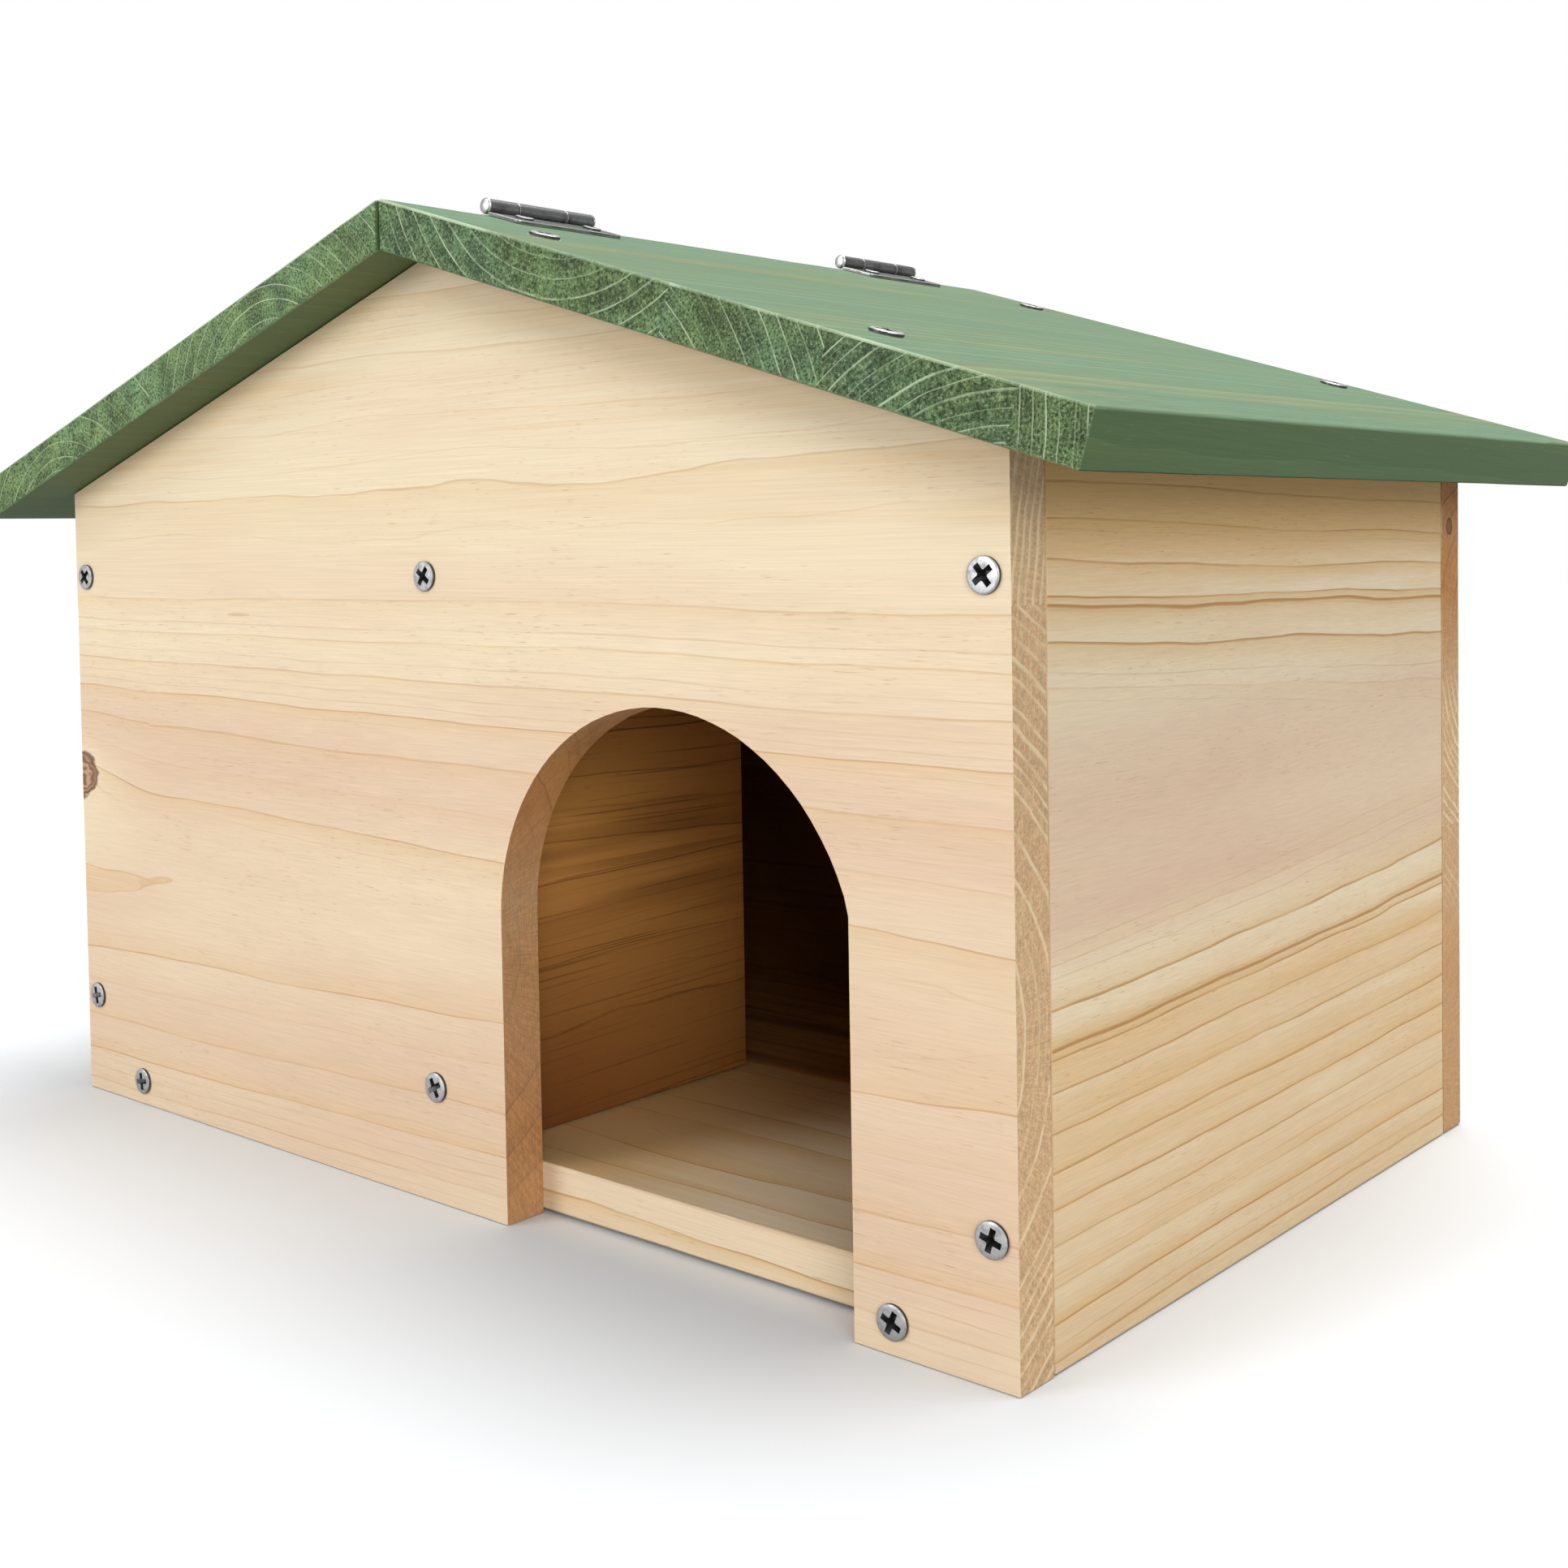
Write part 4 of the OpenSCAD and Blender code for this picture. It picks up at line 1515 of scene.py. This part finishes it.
class HouseScrews(bpy.types.Operator):
    """Builds the countersunk screws of the panels and the fixed roof board"""

    bl_idname = "hedgehog_house.house_screws"
    bl_label = "House Screws"

    def execute(self, context):
        size, look = sizes(), finishes()
        master = screw_mesh(size.screw_head, size.screw_shank, size.screw_length)
        bright = screw_zinc()
        duller = zinc_steel("roof_screw_zinc", 520.0, 0.36, look.roof_zinc, look.roof_dull)
        for node, (where, spots) in PANEL_SCREWS.items():
            places = [(*where(first, second), turn) for first, second, turn in spots]
            steel = duller if where is on_slope else bright
            place_screws(master, places, size.screw_proud, node, "house", steel)
        bpy.data.meshes.remove(master)
        return {"FINISHED"}


class HingeScrews(bpy.types.Operator):
    """Builds the small screws of the hinge leaves"""

    bl_idname = "hedgehog_house.hinge_screws"
    bl_label = "Hinge Screws"

    def execute(self, context):
        size = sizes()
        master = screw_mesh(size.leaf_screw_head, size.leaf_screw_shank, size.leaf_screw_length)
        for (place, part), turns in LEAF_TURNS.items():
            centre = size.hinge_offset * (-1 if place == "front" else 1)
            side, body = (1, "house") if part == "fixed" else (-1, "lid")
            places = [(*leaf_place(side, centre, end), turn) for end, turn in zip((-1, 1), turns)]
            node = f"{place}_hinge_{part}_screws"
            place_screws(master, places, size.leaf_screw_proud, node, body, screw_zinc())
        bpy.data.meshes.remove(master)
        return {"FINISHED"}


# Hinges


class Hinges(bpy.types.Operator):
    """Builds the two butt hinges: leaves with rolled knuckles, and pins with domed ends"""

    bl_idname = "hedgehog_house.hinges"
    bl_label = "Hinges"

    # Radius of the leaves' corners, and the clearance around the other leaf's knuckles
    corner = 0.0016
    clear = 0.0004
    # Turn in radians from which an edge is rounded, and by how much on plates and knuckles
    sharp, plate_edge, knuckle_edge = 0.7, 0.00018, 0.00022
    # First turn of a rolled knuckle, how far it goes round, in degrees, and its steps
    roll_from, roll_round, roll_steps = -90, 310, 36
    # Parts of a face's normal out of a plate, or along a knuckle, on an edge with a painted
    # highlight
    rubbed_from, rubbed_to = 0.25, 0.95
    # Height of a leaf above the roof board, and the knuckle's play around the pin
    lift, play = 0.00003, 0.00005
    # Radius and height of the pins' domed caps, and their gap to the knuckles
    cap, dome, cap_gap = 0.00228, 0.0008, 0.00002

    def spans(self, part):
        """Where the knuckles of a leaf begin and end along the hinge."""
        size = sizes()
        half, middle = size.hinge_length / 2, size.middle_knuckle / 2
        inner = middle + size.knuckle_gap
        return [(-half, -inner), (inner, half)] if part == "fixed" else [(-middle, middle)]

    def plate_outline(self, part):
        """Leaf outline as distance down the slope and place along the ridge."""
        size = sizes()
        half, middle = size.hinge_length / 2, size.middle_knuckle / 2
        axis = -(HINGE_AXIS_Z - ridge_z()) * math.sin(slope_angle())
        clear = size.barrel / 2 + self.clear + axis
        points = []
        for turn in range(0, 91, 15):
            x, y, _ = around(self.corner, math.radians(turn), 0.0)
            points.append((size.leaf_width - self.corner + x, half - self.corner + y))
        if part == "fixed":
            inner = middle + size.knuckle_gap
            points += [(axis, half), (axis, inner), (clear, inner)]
        else:
            points += [(clear, half), (clear, middle), (axis, middle)]
        return points + [(u, -y) for u, y in reversed(points)]

    def leaf(self, side, part, centre, name):
        size = sizes()
        down, up = slope_axes(side)
        base = Vector((0.0, centre, ridge_z()))
        plate = prism(
            [base + down * u + Y * y + up * self.lift for u, y in self.plate_outline(part)],
            up * (size.leaf_thickness - self.lift),
        )
        round_edges(plate, self.sharp, self.plate_edge, 2)
        plate = without(to_mesh(plate, name), leaf_holes(side, (centre,), PLATE_HOLE_DEEP))
        bm = bmesh.new()
        bm.from_mesh(plate)
        bpy.data.meshes.remove(plate)
        axis = Vector((0.0, centre, HINGE_AXIS_Z))
        outer, inner = size.barrel / 2, size.pin / 2 + self.play
        turns = [
            math.radians(self.roll_from - self.roll_round * i / self.roll_steps)
            for i in range(self.roll_steps + 1)
        ]
        for start, stop in self.spans(part):
            ring = [
                axis + Y * start + (down * math.cos(t) + up * math.sin(t)) * radius
                for radius, way in ((outer, turns), (inner, turns[::-1]))
                for t in way
            ]
            roll = prism(ring, Y * (stop - start))
            round_edges(roll, self.sharp, self.knuckle_edge, 2)
            rolled = to_mesh(roll, "rolled_knuckle")
            bm.from_mesh(rolled)
            bpy.data.meshes.remove(rolled)
        bm.normal_update()
        # Painted highlight: the leaves' and knuckles' rounded edges are marked for bright zinc.
        worn = bm.faces.layers.float.new("recess")
        for face in bm.faces:
            away = face.calc_center_median() - axis
            away.y = 0.0
            lying = away.length > outer + self.clear
            edge = abs(face.normal.dot(up) if lying else face.normal.y)
            face[worn] = -1.0 if self.rubbed_from < edge < self.rubbed_to else 0.0
        return to_mesh(bm, name)

    def pin(self, centre, name):
        size = sizes()
        half = size.hinge_length / 2
        profile = [(0.0, -half - self.dome)]
        for turn in range(15, 91, 15):
            a = math.radians(turn)
            profile.append((self.cap * math.sin(a), -half - self.dome * math.cos(a)))
        profile.append((size.pin / 2, -half + self.cap_gap))
        mirrored = [(radius, -height) for radius, height in reversed(profile)]
        bm = revolve(profile + mirrored, steps=36)
        lay = Matrix.Rotation(math.radians(-90), 4, "X")
        place = Matrix.Translation((0.0, centre, HINGE_AXIS_Z)) @ lay
        bmesh.ops.transform(bm, matrix=place, verts=bm.verts)
        return to_mesh(bm, name)

    def execute(self, context):
        size, look = sizes(), finishes()
        steel = zinc_steel("hinge_zinc", 150.0, 0.26, look.leaf_zinc, look.leaf_dull)
        bright = zinc_steel("pin_zinc", 300.0, 0.22, look.pin_zinc, look.zinc)
        for place, centre in (("front", -size.hinge_offset), ("rear", size.hinge_offset)):
            for part, side, body in (("fixed", 1, "house"), ("lid", -1, "lid")):
                node = f"{place}_hinge_{part}_leaf"
                leaf = self.leaf(side, part, centre, node)
                place_piece(leaf, node, "zinc", body, steel, HINGE_SHARP)
            node = f"{place}_hinge_pin"
            pin = self.pin(centre, node)
            place_piece(pin, node, "zinc", "house", bright, HINGE_SHARP)
        return {"FINISHED"}


# Stage


class Studio(bpy.types.Operator):
    """Lays the pale floor and sets the soft light and the camera"""

    bl_idname = "hedgehog_house.studio"
    bl_label = "Studio"

    # Half the floor's width, and its depth under the house
    floor_reach, floor_drop = 6.0, 0.0002
    white, black = (1.0, 1.0, 1.0), (0.0, 0.0, 0.0)

    def floor(self, stage):
        bm = bmesh.new()
        bmesh.ops.create_grid(bm, x_segments=8, y_segments=8, size=self.floor_reach)
        floor = add_object("studio_floor", to_mesh(bm, "studio_floor"))
        floor.location.z = -self.floor_drop
        material, net, shader = new_material("studio_floor_matt")
        seen = net.add("ShaderNodeLightPath").outputs["Is Camera Ray"]
        net.plug(
            shader, Base_Color=net.mix(seen, stage.floor_bounce, stage.floor_tone),
            Emission_Color=net.mix(seen, self.black, (stage.floor_glow,) * 3),
            Emission_Strength=1.0, Roughness=0.8, Specular_IOR_Level=0.2,
        )
        floor.data.materials.append(material)

    def sun(self, name, direction, strength, spread):
        light = bpy.data.lights.new(name, "SUN")
        light.energy = strength
        light.angle = math.radians(spread)
        lamp = add_object(name, light)
        lamp.rotation_euler = Vector(direction).to_track_quat("Z", "Y").to_euler()

    def sky(self, strength):
        """White to the camera, and a weaker light on all else."""
        world = bpy.data.worlds.new("studio_sky")
        world.use_nodes = True
        world.node_tree.nodes.clear()
        net = Net(world.node_tree)
        glow, seen = [
            net.plug(net.add("ShaderNodeBackground"), Color=self.white, Strength=amount)[0]
            for amount in (strength, 1.0)
        ]
        by_camera = net.add("ShaderNodeLightPath").outputs["Is Camera Ray"]
        blend = net.join(net.add("ShaderNodeMixShader"), by_camera, glow, seen)
        net.plug(net.add("ShaderNodeOutputWorld"), Surface=blend)
        bpy.context.scene.world = world

    def camera(self, stage):
        turn, dip, roll = stage.camera_turn, stage.camera_dip, stage.camera_roll
        level = math.cos(dip)
        ahead = Vector((-math.sin(turn) * level, math.cos(turn) * level, -math.sin(dip)))
        right = Vector((math.cos(turn), math.sin(turn), 0.0))
        up = right.cross(ahead)
        side = right * math.cos(roll) + up * math.sin(roll)
        top = up * math.cos(roll) - right * math.sin(roll)
        lens = bpy.data.cameras.new("studio_camera")
        lens.sensor_width = 36.0
        lens.lens = stage.focal
        lens.shift_x, lens.shift_y = stage.shift_x, stage.shift_y
        lens.clip_start, lens.clip_end = 0.01, 50.0
        lens.dof.use_dof = False
        camera = add_object("studio_camera", lens)
        place = Matrix.Translation((stage.camera_x, stage.camera_y, stage.camera_z))
        camera.matrix_world = place @ Matrix((side, top, -ahead)).transposed().to_4x4()
        bpy.context.scene.camera = camera

    def execute(self, context):
        stage = context.scene.house_stage
        self.floor(stage)
        self.sun("key_light", (-0.40, -0.88, 0.18), stage.key, 26.0)
        self.sun("fill_light", (-0.38, -0.60, 0.70), stage.fill, 26.0)
        self.sun("side_light", (0.77, -0.55, 0.30), stage.side, 32.0)
        self.sun("top_light", (0.1, 0.24, 1.0), stage.top, 40.0)
        self.sky(stage.sky)
        self.camera(stage)
        context.scene.view_settings.view_transform = "Standard"
        context.scene.view_settings.look = "None"
        return {"FINISHED"}


# Add-on

STEPS = (
    GablePanels, SideWalls, FloorBoard, ScreenBoard, RoofBoards, Hinges, HouseScrews, HingeScrews,
    Studio,
)
SETTINGS = {"house_sizes": HouseSizes, "house_finishes": HouseFinishes, "house_stage": HouseStage}


class HousePanel(bpy.types.Panel):
    """Lists the steps that build the house, and their settings"""

    bl_idname = "VIEW3D_PT_hedgehog_house"
    bl_label = "Hedgehog House"
    bl_space_type = "VIEW_3D"
    bl_region_type = "UI"
    bl_category = "Hedgehog House"

    def draw(self, context):
        for step in STEPS:
            self.layout.operator(step.bl_idname)
        for place, kind in SETTINGS.items():
            column = self.layout.column(align=True)
            for name in kind.__annotations__:
                column.prop(getattr(context.scene, place), name)


CLASSES = (*SETTINGS.values(), *STEPS, HousePanel)


def register():
    for kind in CLASSES:
        bpy.utils.register_class(kind)
    for place, kind in SETTINGS.items():
        setattr(bpy.types.Scene, place, PointerProperty(type=kind))


def unregister():
    for place in SETTINGS:
        delattr(bpy.types.Scene, place)
    for kind in reversed(CLASSES):
        bpy.utils.unregister_class(kind)


def main():
    register()
    bpy.ops.hedgehog_house.gable_panels()
    bpy.ops.hedgehog_house.side_walls()
    bpy.ops.hedgehog_house.floor_board()
    bpy.ops.hedgehog_house.partition()
    bpy.ops.hedgehog_house.roof_boards()
    bpy.ops.hedgehog_house.hinges()
    bpy.ops.hedgehog_house.house_screws()
    bpy.ops.hedgehog_house.hinge_screws()
    bpy.ops.hedgehog_house.studio()


if __name__ == "__main__":
    main()
